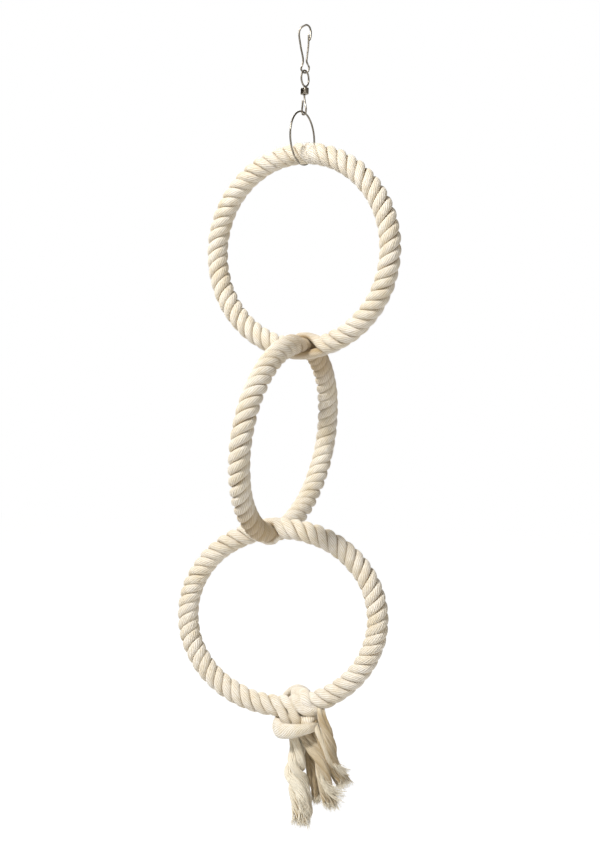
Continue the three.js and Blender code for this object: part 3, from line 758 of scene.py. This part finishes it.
def wisps(side):
    """Loose yarns that leave a tail together and spread towards their ends"""
    number, route = WISPS[side]
    line = knot_line(route, 2 * TAIL_STEP)
    share = lengths_along(line)[:, None] / lengths_along(line)[-1]
    tubes = []
    for _ in range(number):
        start, end = draw.normal(size=3) * 0.7 * MM, draw.normal(size=3) * np.array([1.4, 1.4, 3.4]) * MM
        kink = draw.normal(size=3) * 0.5 * MM * np.sin(share * math.pi)
        path = line + start + (end - start) * share ** SPREAD_POWER + kink
        path = path[:max(4, int(len(path) * drawn(1, 0.7)))]
        thick = WISP_RADIUS * drawn(0.7, 1.2)
        along = np.linspace(0, 1, len(path))
        radius = thick * (1 - 0.6 * along) * (0.15 + 0.85 * soft_step(along / 0.3))
        # painted shade, darker where a wisp leaves its tail
        tubes.append((path, radius, 5, 0.55 - 0.4 * soft_step(along / 0.5)))
    return tubes


def side_plies(side):
    """Yarns twisted together round a core, along each thin ply's route"""
    tubes = []
    for shade, half, route in SIDE_PLIES.get(side, ()):
        line = knot_line(route, TAIL_STEP)
        lengths = lengths_along(line)
        rightward, forward = right_and_front(line)
        thin = 1 - 0.5 * soft_step((lengths - lengths[-1] + SIDE_PLY_TAPER) / SIDE_PLY_TAPER)
        half_width = thin * half * MM
        for yarn in range(SIDE_PLY_YARNS + 1):
            core = yarn == SIDE_PLY_YARNS
            angle = (TURN * (lengths / SIDE_PLY_PITCH + yarn / SIDE_PLY_YARNS))[:, None]
            reach = (half_width * (0.0 if core else SIDE_YARN_RING))[:, None]
            path = line + (rightward * np.cos(angle) + forward * np.sin(angle)) * reach
            radius = half_width * (SIDE_CORE_SHARE if core else SIDE_YARN_SHARE)
            tubes.append((path, radius, 8, np.full(len(line), shade)))
    return tubes


# Finishes

def colour(red, green, blue):
    """A colour of 0 to 255 a channel as it is seen, in the linear numbers that shaders take"""
    seen = [channel / 255 for channel in (red, green, blue)]
    return tuple(c / 12.92 if c <= 0.04045 else ((c + 0.055) / 1.055) ** 2.4 for c in seen) + (1.0,)


class Value:
    """A socket in a node tree that can be used in an expression"""

    def __init__(self, finish, socket):
        self.finish, self.socket = finish, socket

    def maths(self, operation, other):
        return self.finish.node("Math", {"operation": operation}, {0: self, 1: other})

    def __add__(self, other):
        return self.maths("ADD", other)

    def __mul__(self, other):
        return self.maths("MULTIPLY", other)


class Finish:
    """The node tree of a material or of the world"""

    def __init__(self, holder, output="OutputMaterial"):
        self.holder = holder
        holder.use_nodes = True
        self.tree = holder.node_tree
        self.tree.nodes.clear()
        self.output = self.tree.nodes.new("ShaderNode" + output)

    def node(self, kind, settings=None, inputs=None, output=0):
        made = self.tree.nodes.new("ShaderNode" + kind)
        for setting, value in (settings or {}).items():
            setattr(made, setting, value)
        for socket, value in (inputs or {}).items():
            if isinstance(value, Value):
                self.tree.links.new(value.socket, made.inputs[socket])
            else:
                made.inputs[socket].default_value = value
        return Value(self, made.outputs[output])

    def noise(self, vector, scale, detail=2.0, roughness=0.5):
        inputs = {"Vector": vector, "Scale": scale, "Detail": detail, "Roughness": roughness}
        return self.node("TexNoise", {}, inputs, "Fac")

    def mark(self, name):
        return self.node("Attribute", {"attribute_name": name}, {}, "Fac")

    def mixed(self, share, first, second):
        inputs = {0: share, 6: first, 7: second}  # sockets 6 and 7 take the colours
        return self.node("Mix", {"data_type": "RGBA", "clamp_factor": True}, inputs, 2)

    def stretched(self, vector, scale):
        return self.node("Mapping", {}, {"Vector": vector, "Scale": scale})

    def between(self, value, low, high):
        """0 at the low value and 1 at the high one, straight in between"""
        inputs = {"Value": value, "From Min": low, "From Max": high}
        return self.node("MapRange", {"clamp": True}, inputs)

    def bumps(self, height, strength, depth):
        return self.node("Bump", {}, {"Strength": strength, "Distance": depth, "Height": height})

    def rays(self, first, *others):
        """1 for a ray of one of these kinds"""
        path = self.tree.nodes.new("ShaderNodeLightPath")
        total = Value(self, path.outputs[f"Is {first} Ray"])
        for kind in others:
            total = total + Value(self, path.outputs[f"Is {kind} Ray"])
        return total

    def surface(self, shader):
        self.tree.links.new(shader.socket, self.output.inputs["Surface"])
        return self.holder


def cotton(name, light, dark, shade, fluff=0.0):
    """Cotton yarn: fine fibres along each yarn, ply lines across it, soft blotches, painted warm shade in
    grooves and marked places
    """
    finish = Finish(bpy.data.materials.new(name))
    around = finish.node("UVMap", {"uv_map": "along"})
    place = finish.node("TexCoord", {}, {}, "Object")
    hairs = finish.noise(finish.stretched(around, (260, 150, 1)), scale=1, detail=3, roughness=0.6)
    plies = finish.noise(finish.stretched(around, (1500, 60, 1)), scale=1, detail=1)
    blotches = finish.noise(place, scale=75, detail=3, roughness=0.6)
    specks = finish.noise(place, scale=900)
    tone = finish.between(blotches * 0.55 + hairs * 0.25 + specks * 0.2, 0.38, 0.60) * 0.65
    base = finish.mixed(tone + finish.mark("yarn") * 0.35, dark, light)
    # Painted shade: the shade colour, mixed in as far as the painted_shade mark says
    with_painted_shade = finish.mixed(finish.between(finish.mark("painted_shade"), 0.1, 1.0) * 0.85, base, shade)
    return finish.surface(finish.node("BsdfPrincipled", {}, {
        "Base Color": with_painted_shade, "Roughness": specks * 0.1 + 0.86,
        "Normal": finish.bumps(hairs * 0.5 + plies * 0.35 + specks * 0.3, strength=0.55, depth=0.35 * MM),
        "Sheen Weight": 0.25 + fluff, "Sheen Roughness": 0.5, "Specular IOR Level": 0.2,
    }))


def nickel(name, bright, dull):
    """Nickel plate on drawn wire: faint draw lines, small dull patches"""
    finish = Finish(bpy.data.materials.new(name))
    place = finish.node("TexCoord", {}, {}, "Object")
    darkening = finish.between(finish.noise(place, scale=420, detail=4, roughness=0.65), 0.42, 0.68)
    lines = finish.noise(finish.stretched(place, (2600, 2600, 260)), scale=1)
    return finish.surface(finish.node("BsdfPrincipled", {}, {
        "Base Color": finish.mixed(darkening, bright, dull), "Metallic": 1.0, "Roughness": darkening * 0.15 + 0.33,
        "Normal": finish.bumps(lines, strength=0.12, depth=0.1 * MM),
    }))


cotton_rope = cotton("cotton_rope", colour(252, 248, 240), colour(229, 216, 188), colour(178, 152, 110))
# A paler copy of the rope's cotton for the joint's fibres: painted light, against the shade in which thin
# fibres turn grey
cotton_fluff = cotton("cotton_fluff", colour(255, 249, 234), colour(250, 240, 220),
                      colour(230, 214, 184), -0.25)
cotton_fray = cotton("cotton_fray", colour(250, 244, 228), colour(226, 213, 186), colour(172, 147, 104), 0.1)
nickel_wire = nickel("nickel_wire", colour(160, 153, 140), colour(120, 112, 99))
nickel_strip = nickel("nickel_strip", colour(170, 163, 150), colour(124, 115, 102))
core_steel = nickel("core_steel", colour(168, 166, 162), colour(128, 126, 122))


# Camera: level with the chain's middle and square to it, rolled a little as the photograph is

PICTURE_HEIGHT = 852
FOCAL_PIXELS = 1250
SENSOR_HEIGHT = 24
CAMERA_PLACE = Vector((3.88, -750, -240.1)) * MM
CAMERA_ROLL = math.radians(1.9)


def add_camera():
    camera_data = bpy.data.cameras.new("camera")
    camera_data.sensor_fit = "VERTICAL"
    camera_data.sensor_height = SENSOR_HEIGHT
    camera_data.lens = SENSOR_HEIGHT * FOCAL_PIXELS / PICTURE_HEIGHT
    camera_data.clip_start = 0.01
    camera = linked("camera", camera_data)
    right = Vector((math.cos(CAMERA_ROLL), 0, math.sin(CAMERA_ROLL)))
    rise = Vector((-math.sin(CAMERA_ROLL), 0, math.cos(CAMERA_ROLL)))
    turn = Matrix((right, rise, right.cross(rise))).transposed().to_4x4()
    camera.matrix_world = Matrix.Translation(CAMERA_PLACE) @ turn
    bpy.context.scene.camera = camera


# Stage: a pale floor well below the toy, a white surround and soft lamps

FLOOR_PLACE = (0, 1, -0.62)
FLOOR_SIZE = 6
FLOOR_GLOW = 1.14
FLOOR_GLOW_SHARE = 0.86
WHITE = (1, 1, 1, 1)
PAPER = (0.86, 0.86, 0.86, 1)
AIR, AIR_STRENGTH = (1, 0.92, 0.8, 1), 0.16
LAMP_TARGET = Vector((0, 0, -0.25))
# Each lamp's place, how wide it is, and its power
LAMPS = {
    "key": ((-0.85, -0.68, 0.75), 0.27, 24.6),
    "fill": ((1.2, -1.3, 0.1), 0.9, 6.5),
    "rear": ((-0.5, 1.4, 0.7), 0.6, 9),
}


def add_stage():
    bpy.ops.object.select_all(action="DESELECT")
    bpy.ops.mesh.primitive_plane_add(size=FLOOR_SIZE, location=FLOOR_PLACE)
    floor = bpy.context.object
    floor.name = "floor"
    finish = Finish(bpy.data.materials.new("floor_paper"))
    paper = finish.node("BsdfDiffuse", {}, {"Color": PAPER})
    glow = finish.node("Emission", {}, {"Color": WHITE, "Strength": FLOOR_GLOW})
    seen = finish.rays("Camera", "Glossy", "Transmission") * FLOOR_GLOW_SHARE
    floor.data.materials.append(finish.surface(finish.node("MixShader", {}, {0: seen, 1: paper, 2: glow})))

    finish = Finish(bpy.data.worlds.new("surround"), "OutputWorld")
    lit = finish.node("Background", {}, {"Color": AIR, "Strength": AIR_STRENGTH})
    shown = finish.node("Background", {}, {"Color": WHITE, "Strength": 1.0})
    either = finish.rays("Camera", "Transmission")
    bpy.context.scene.world = finish.surface(finish.node("MixShader", {}, {0: either, 1: lit, 2: shown}))

    for name, (place, size, power) in LAMPS.items():
        data = bpy.data.lights.new(name, "AREA")
        data.shape = "DISK"
        data.size = size
        data.energy = power
        lamp = linked(name, data)
        lamp.location = place
        lamp.rotation_euler = (LAMP_TARGET - Vector(place)).to_track_quat("-Z", "Y").to_euler()


bpy.context.scene.view_settings.view_transform = "Standard"
add_camera()
add_stage()


# Tails: their yarns, with loose fibres, wisps and side plies

def finish_piece(piece, material, body, slot, *nodes):
    piece.data.materials.clear()
    piece.data.materials.append(material)
    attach(piece, body)
    if nodes:
        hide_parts(*nodes)
    return piece


for side in TAILS:
    line, yarns, ends = tail_tubes(side)
    tail = finish_piece(joined(f"tail_{side}_yarns", yarns), cotton_fray, "bottom_ring", "cotton_rope",
                        f"tail_{side}")
    strays = (wisps(side) if side in WISPS else []) + side_plies(side)
    loose = joined(f"tail_{side}_fibres", fibres(ends, FIBRE_LENGTH[side]) + strays)
    finish_piece(loose, cotton_fray, "bottom_ring", "cotton_rope")


# Hardware, on the same lines as in the solids, in millimetres

WIRE, LOOSE = 2 * WIRE_RADIUS / MM, GAP / MM
HOOK_LOOP_LEFT, HOOK_LOOP_RIGHT = 4.45, 2.6
HOOK_WAIST_DROP, HOOK_WAIST_LEFT, HOOK_GATE_WAIST = 21.4, 1.5, 0.65
HOOK_EYE_WIDTH, HOOK_EYE_DROP, HOOK_EYE_DEPTH = 4.7, 4.5, 2.4
HOOK_NOSE_DROP, GATE_TIP_DROP = 9.2, 5.0
HOOK_EYE_BOTTOM = -(HOOK_WAIST_DROP + HOOK_EYE_DROP + HOOK_EYE_DEPTH)
UPPER_EYE_WIDTH, UPPER_EYE_HEIGHT, UPPER_EYE_YAW = 7.9, 9.4, 56
UPPER_EYE_TOP = HOOK_EYE_BOTTOM + WIRE + LOOSE
UPPER_EYE_BOTTOM = UPPER_EYE_TOP - UPPER_EYE_HEIGHT
SHANK_HOLE, HEAD_DIAMETER, HEAD_THICKNESS, HEAD_ROUNDING = 1.7, 2.5, 0.7, 0.2
BOX_WIDTH, BOX_HEIGHT, BOX_DEPTH, BOX_WALL, BOX_CORNER, BOX_YAW = 4.4, 4.2, 3.3, 0.6, 0.6, -50
BOX_EDGE = 0.12
BOX_TOP = UPPER_EYE_BOTTOM - WIRE / 2 - LOOSE
BOX_BOTTOM = BOX_TOP - BOX_HEIGHT
LOWER_EYE_WIDTH, LOWER_EYE_LENGTH = 3.7, 12.0
LOWER_EYE_BOTTOM = BOX_BOTTOM - LOWER_EYE_LENGTH
HANGER_DIAMETER, HANGER_LEAN = 31.4, 2.8
WIRE_STEP = 0.3
CUT_ENDS = {0: 0.72, 1: 0.93, -1: 0.72, -2: 0.93}  # a wire's thickness at its first and last points
WIRE_CREASE, STRIP_CREASE = math.radians(50), math.radians(35)  # an edge that turns by more stays sharp


def select_only(piece):
    bpy.ops.object.select_all(action="DESELECT")
    piece.select_set(True)
    bpy.context.view_layer.objects.active = piece


def modified(piece, kind, **settings):
    """Adds one modifier to a piece and applies it"""
    modifier = piece.modifiers.new("change", kind)
    for setting, value in settings.items():
        setattr(modifier, setting, value)
    select_only(piece)
    bpy.ops.object.modifier_apply(modifier=modifier.name)


def combined(body, other, operation):
    modified(body, "BOOLEAN", operation=operation, solver="EXACT", object=other)
    bpy.data.objects.remove(other)


def wire_piece(name, points, closed=False):
    """Round wire bent along a line, its cut ends a little rounded off"""
    curve = bpy.data.curves.new(name, "CURVE")
    curve.dimensions = "3D"
    curve.bevel_depth = WIRE_RADIUS
    curve.bevel_resolution = 5
    curve.use_fill_caps = not closed
    spline = curve.splines.new("POLY")
    spline.points.add(len(points) - 1)
    spline.points.foreach_set("co", np.ravel(np.hstack([points, np.ones((len(points), 1))])))
    spline.use_cyclic_u = closed
    if not closed:
        for place, share in CUT_ENDS.items():
            spline.points[place].radius = share
    select_only(linked(name, curve))
    bpy.ops.object.convert(target="MESH")
    bpy.ops.object.mode_set(mode="EDIT")
    bpy.ops.mesh.select_all(action="SELECT")
    bpy.ops.mesh.remove_doubles(threshold=0.01 * MM)
    bpy.ops.mesh.normals_make_consistent(inside=False)
    bpy.ops.object.mode_set(mode="OBJECT")
    bpy.ops.object.shade_smooth_by_angle(angle=WIRE_CREASE)
    return bpy.context.object


def round_bar(name, low, high, diameter, rounded=0):
    """An upright round bar between two heights, its edges rounded"""
    bpy.ops.object.select_all(action="DESELECT")
    bpy.ops.mesh.primitive_cylinder_add(vertices=24, radius=diameter * MM / 2, depth=(high - low) * MM,
                                        location=(0, 0, (low + high) * MM / 2))
    bar = bpy.context.object
    bar.name = name
    bpy.ops.object.transform_apply(location=True, rotation=True, scale=True)
    if rounded:
        modified(bar, "BEVEL", width=rounded * MM, segments=3, limit_method="ANGLE",
                 angle_limit=math.radians(50))
    return bar


def united(name, body, *others):
    for other in others:
        combined(body, other, "UNION")
    body.name = name
    select_only(body)
    bpy.ops.object.shade_smooth_by_angle(angle=STRIP_CREASE)
    return body


def hook_lines():
    """The line of the hook's wire from its nose round to the foot of the gate, and the gate's line"""
    eye_left = -HOOK_WAIST_LEFT - 0.22 * HOOK_EYE_WIDTH
    eye_right = eye_left + HOOK_EYE_WIDTH
    widest = -(HOOK_WAIST_DROP + HOOK_EYE_DROP)
    foot = np.array([blend(eye_right, HOOK_GATE_WAIST, 0.45), 0, widest + 0.55 * HOOK_EYE_DROP])
    waist = np.array([HOOK_GATE_WAIST, 0, -HOOK_WAIST_DROP])
    upward = unit(waist - foot)
    wire = [
        (HOOK_LOOP_RIGHT - 0.75, -1.4, -HOOK_NOSE_DROP),
        (HOOK_LOOP_RIGHT - 0.15, -1.0, -0.8 * HOOK_NOSE_DROP),
        (HOOK_LOOP_RIGHT, -0.55, -0.58 * HOOK_NOSE_DROP),
        (HOOK_LOOP_RIGHT - 0.1, -0.1, -0.33 * HOOK_NOSE_DROP),
        (0.55 * HOOK_LOOP_RIGHT, 0, -0.35 * WIRE), (-0.1, 0, WIRE / 2),
        (-0.32 * HOOK_LOOP_LEFT, 0, 0.1 * WIRE), (-0.8 * HOOK_LOOP_LEFT, 0, -1.5), (-HOOK_LOOP_LEFT, 0, -4.4),
        (blend(-HOOK_LOOP_LEFT, -HOOK_WAIST_LEFT, 0.36), 0, -0.55 * HOOK_WAIST_DROP),
        (-HOOK_WAIST_LEFT, 0, -HOOK_WAIST_DROP), (eye_left, 0, widest),
        (eye_left + 0.17 * HOOK_EYE_WIDTH, 0, HOOK_EYE_BOTTOM + 0.32 * HOOK_EYE_DEPTH),
        ((eye_left + eye_right) / 2, 0, HOOK_EYE_BOTTOM),
        (eye_right - 0.14 * HOOK_EYE_WIDTH, 0, HOOK_EYE_BOTTOM + 0.36 * HOOK_EYE_DEPTH),
        (eye_right, 0, widest + 0.2 * HOOK_EYE_DROP), tuple(foot - upward * 0.05),
    ]
    reach = HOOK_LOOP_RIGHT - WIRE - 0.15
    gate = [
        tuple(foot + upward * 0.05), tuple(waist),
        (blend(HOOK_GATE_WAIST, reach, 0.35), 0, -0.81 * HOOK_WAIST_DROP),
        (reach, 0, -0.53 * HOOK_WAIST_DROP), (reach - 0.08, 0, -GATE_TIP_DROP),
    ]
    return [smooth_line(np.array(points) * MM, WIRE_STEP * MM) for points in (wire, gate)]


def wire_oval(name, top, rise, height, sideways, width, count):
    """A closed ring of wire that hangs from its top point, with so many points"""
    angles = np.linspace(0, TURN, count, endpoint=False)[:, None]
    centre = up * top - rise * height / 2
    points = centre + rise * height / 2 * np.cos(angles) + sideways * width / 2 * np.sin(angles)
    return wire_piece(name, points * MM, True)


def upper_eye():
    wire = wire_oval("oval", UPPER_EYE_TOP, up, UPPER_EYE_HEIGHT, heading(UPPER_EYE_YAW), UPPER_EYE_WIDTH, 72)
    head = BOX_TOP - BOX_WALL - LOOSE
    return united("swivel_eye_upper", wire,
                  round_bar("shank", head - HEAD_THICKNESS + 0.1, UPPER_EYE_BOTTOM, WIRE),
                  round_bar("head", head - HEAD_THICKNESS, head, HEAD_DIAMETER, HEAD_ROUNDING))


def lower_eye():
    across = heading(BOX_YAW)
    half = LOWER_EYE_WIDTH / 2
    places = [(0, -0.05), (0, 0.14), (0.45 * half, 0.44), (half, 0.74), (0.8 * half, 0.93), (0, 1),
              (-0.8 * half, 0.93), (-half, 0.74), (-0.82 * half, 0.45), (-0.86 * half, 0.26)]
    points = [up * blend(BOX_BOTTOM, LOWER_EYE_BOTTOM, share) + across * side for side, share in places]
    head = BOX_BOTTOM + BOX_WALL + LOOSE
    return united("swivel_eye_lower",
                  wire_piece("bent_wire", smooth_line(np.array(points) * MM, WIRE_STEP * MM)),
                  round_bar("head", head, head + HEAD_THICKNESS, HEAD_DIAMETER, HEAD_ROUNDING))


def block(width, depth, height, corner):
    """A block about the swivel's middle, with its four long edges rounded"""
    bpy.ops.object.select_all(action="DESELECT")
    bpy.ops.mesh.primitive_cube_add(size=1, location=(0, 0, 0))
    made = bpy.context.object
    made.scale = (width * MM, depth * MM, height * MM)
    bpy.ops.object.transform_apply(location=True, rotation=True, scale=True)
    bpy.ops.object.mode_set(mode="EDIT")
    bpy.ops.mesh.select_all(action="DESELECT")
    bpy.ops.object.mode_set(mode="OBJECT")
    for edge in made.data.edges:
        first, second = (made.data.vertices[corner_index].co for corner_index in edge.vertices)
        edge.select = abs(first.y - second.y) > 0.5 * depth * MM
    bpy.ops.object.mode_set(mode="EDIT")
    bpy.ops.mesh.select_mode(type="EDGE")
    bpy.ops.mesh.bevel(offset=corner * MM, segments=5, affect="EDGES")
    bpy.ops.object.mode_set(mode="OBJECT")
    return made


def swivel_box():
    box = block(BOX_WIDTH, BOX_DEPTH, BOX_HEIGHT, BOX_CORNER)
    inside = block(BOX_WIDTH - 2 * BOX_WALL, BOX_DEPTH + 1, BOX_HEIGHT - 2 * BOX_WALL, BOX_CORNER / 2)
    combined(box, inside, "DIFFERENCE")
    combined(box, round_bar("hole", -BOX_HEIGHT, BOX_HEIGHT, SHANK_HOLE), "DIFFERENCE")
    modified(box, "BEVEL", width=BOX_EDGE * MM, segments=2, limit_method="ANGLE",
             angle_limit=math.radians(40))
    box.name = "swivel_strip"
    box.rotation_euler = (0, 0, math.radians(BOX_YAW))
    box.location = (0, 0, (BOX_TOP + BOX_BOTTOM) / 2 * MM)
    bpy.ops.object.transform_apply(location=True, rotation=True, scale=True)
    bpy.ops.object.shade_smooth_by_angle(angle=STRIP_CREASE)
    return box


def wire_ring():
    lean = math.radians(HANGER_LEAN)
    rightward = heading(HANGER_YAW)
    rise = up * math.cos(lean) + rightward * math.sin(lean)
    sideways = np.cross(rise, np.cross(rightward, rise))
    top = LOWER_EYE_BOTTOM + WIRE + LOOSE
    return wire_oval("wire_ring", top, rise, HANGER_DIAMETER, sideways, HANGER_DIAMETER, 180)


def add_hardware():
    hook, gate = hook_lines()
    finish_piece(wire_piece("snap_hook", hook), nickel_wire, "hook", "nickel_wire", "hook_wire")
    finish_piece(wire_piece("snap_gate", gate), nickel_wire, "gate", "nickel_wire", "hook_gate")
    finish_piece(upper_eye(), nickel_wire, "upper_eye", "nickel_wire", "swivel_upper_eye")
    finish_piece(swivel_box(), nickel_strip, "swivel_body", "nickel_strip", "swivel_box")
    finish_piece(lower_eye(), nickel_wire, "lower_eye", "nickel_wire", "swivel_lower_eye")
    finish_piece(wire_ring(), nickel_wire, "hanger", "nickel_wire", "hanger_ring")


# Ropes

WIRE_CLEAR, WIRE_GROOVE_ROUNDING, WIRE_NEAR = 0.08 * MM, 0.35 * MM, 3 * MM
JOINT_FIBRES = 130
JOINT_FIBRE_SPREAD = 0.42  # of the joint's own spread
JOINT_FIBRE_POINTS = 7
BAND_YARNS, BAND_YARN_DEPTH, BAND_TWIST, BAND_LAID = 18, 0.3 * MM, 0.7, 0.25


def away_from_wire(corners):
    """The hanger's wire presses a groove into the rope that hangs on it"""
    direction = heading(HANGER_YAW)
    offset = corners - joint_places["top_ring_swing"]
    offset = offset - direction * dot(offset, direction)
    distance = np.linalg.norm(offset, axis=-1, keepdims=True)
    inside = WIRE_RADIUS + WIRE_CLEAR - distance
    push = 0.5 * (inside + np.hypot(inside, WIRE_GROOVE_ROUNDING))
    return corners + offset / np.maximum(distance, 1e-9) * push * (distance < WIRE_NEAR)


def strand_twist(lengths):
    return TURN * lengths / YARN_PITCH


def add_ring_rope(name):
    strands = bottom_strands() if name == "bottom" else ring_strands(name)
    press = away_from_wire if name == "top" else None
    pieces = []
    for letter, strand in zip("abc", strands):
        values = [strand[value] for value in STRAND_VALUES[1:]]
        line, (away, out, side, laid, darkening) = resampled(strand["line"], values, STRAND_STEP)
        twist = strand_twist(lengths_along(line))
        pieces.append(add_strand(f"ring_{name}_strand_{letter}", line, away, out, side, twist,
                                 press=press, laid=laid, darkening=darkening))
    return pieces


def joint_fluff(ring):
    """Fine fibres that lie over a ring's butt joint, each along the rope or nearly so"""
    tubes = []
    share = np.linspace(0, 1, JOINT_FIBRE_POINTS)[:, None]
    for _ in range(JOINT_FIBRES):
        angle = ring.joint + draw.normal() * JOINT_FIBRE_SPREAD * JOINT_SPREAD / ring.mean_radius
        outward = ring.outward(angle)
        along = np.cross(ring.normal, outward)
        around = draw.random() * TURN
        away = outward * math.cos(around) + ring.normal * math.sin(around)
        beside = np.cross(along, away)
        aim = unit(along * draw.choice([-1, 1]) + beside * draw.normal() * 0.6 + away * drawn(0, 0.04))
        reach = drawn(2, 5) * MM
        start = ring.point(angle) + away * drawn(6.2, 6.45) * MM - aim * reach / 2
        bend = beside * draw.normal() * 1.6 * MM - away * 0.5 * MM
        curl = (beside * draw.normal() + along * draw.normal()) * 0.8 * MM
        path = start + aim * reach * share + bend * share ** 2 + curl * np.sin(share * TURN)
        thick = drawn(0.018, 0.040) * MM
        tubes.append((path, np.full(JOINT_FIBRE_POINTS, thick), 4, np.zeros(JOINT_FIBRE_POINTS)))
    return tubes


def add_band():
    """The strand that binds the knot. It faces away from the strand ends that it goes round and, where
    it arches up, from the ring's rope."""
    line = knot_line([place[:3] for place in BAND_ROUTE])
    lengths = lengths_along(line)
    along_route = lengths_along(np.array([knot_place(*place[:3]) for place in BAND_ROUTE]))
    stations = along_route / along_route[-1] * lengths[-1]
    out, side = (np.interp(lengths, stations, [place[size] for place in BAND_ROUTE]) * MM for size in (3, 4))
    raised = soft_step((line[:, 2:] - knot_centre[2] + 6 * MM) / (8 * MM))
    around_ends = square_to(line - knot_centre, up)
    over_ring = square_to(line - knot_place(0, 10.7, -1), rings["bottom"].normal)
    return add_strand("knot_strand", line, around_ends * (1 - raised) + over_ring * raised, out, side,
                      BAND_TWIST * strand_twist(lengths), BAND_YARNS, BAND_YARN_DEPTH, laid=BAND_LAID)


for name in rings:
    body = f"{name}_ring"
    for number, piece in enumerate(add_ring_rope(name)):
        nodes = [f"ring_{name}_rope"] if number == 0 else []
        finish_piece(piece, cotton_rope, body, "cotton_rope", *nodes)
    if name != "bottom":
        fluff = joined(f"ring_{name}_fluff", joint_fluff(rings[name]))
        finish_piece(fluff, cotton_fluff, body, "cotton_rope")
    core = frame["nodes"][f"ring_{name}_core"]
    core.data.materials.clear()
    core.data.materials.append(core_steel)
finish_piece(add_band(), cotton_rope, "bottom_ring", "cotton_rope", "knot_band")
add_hardware()
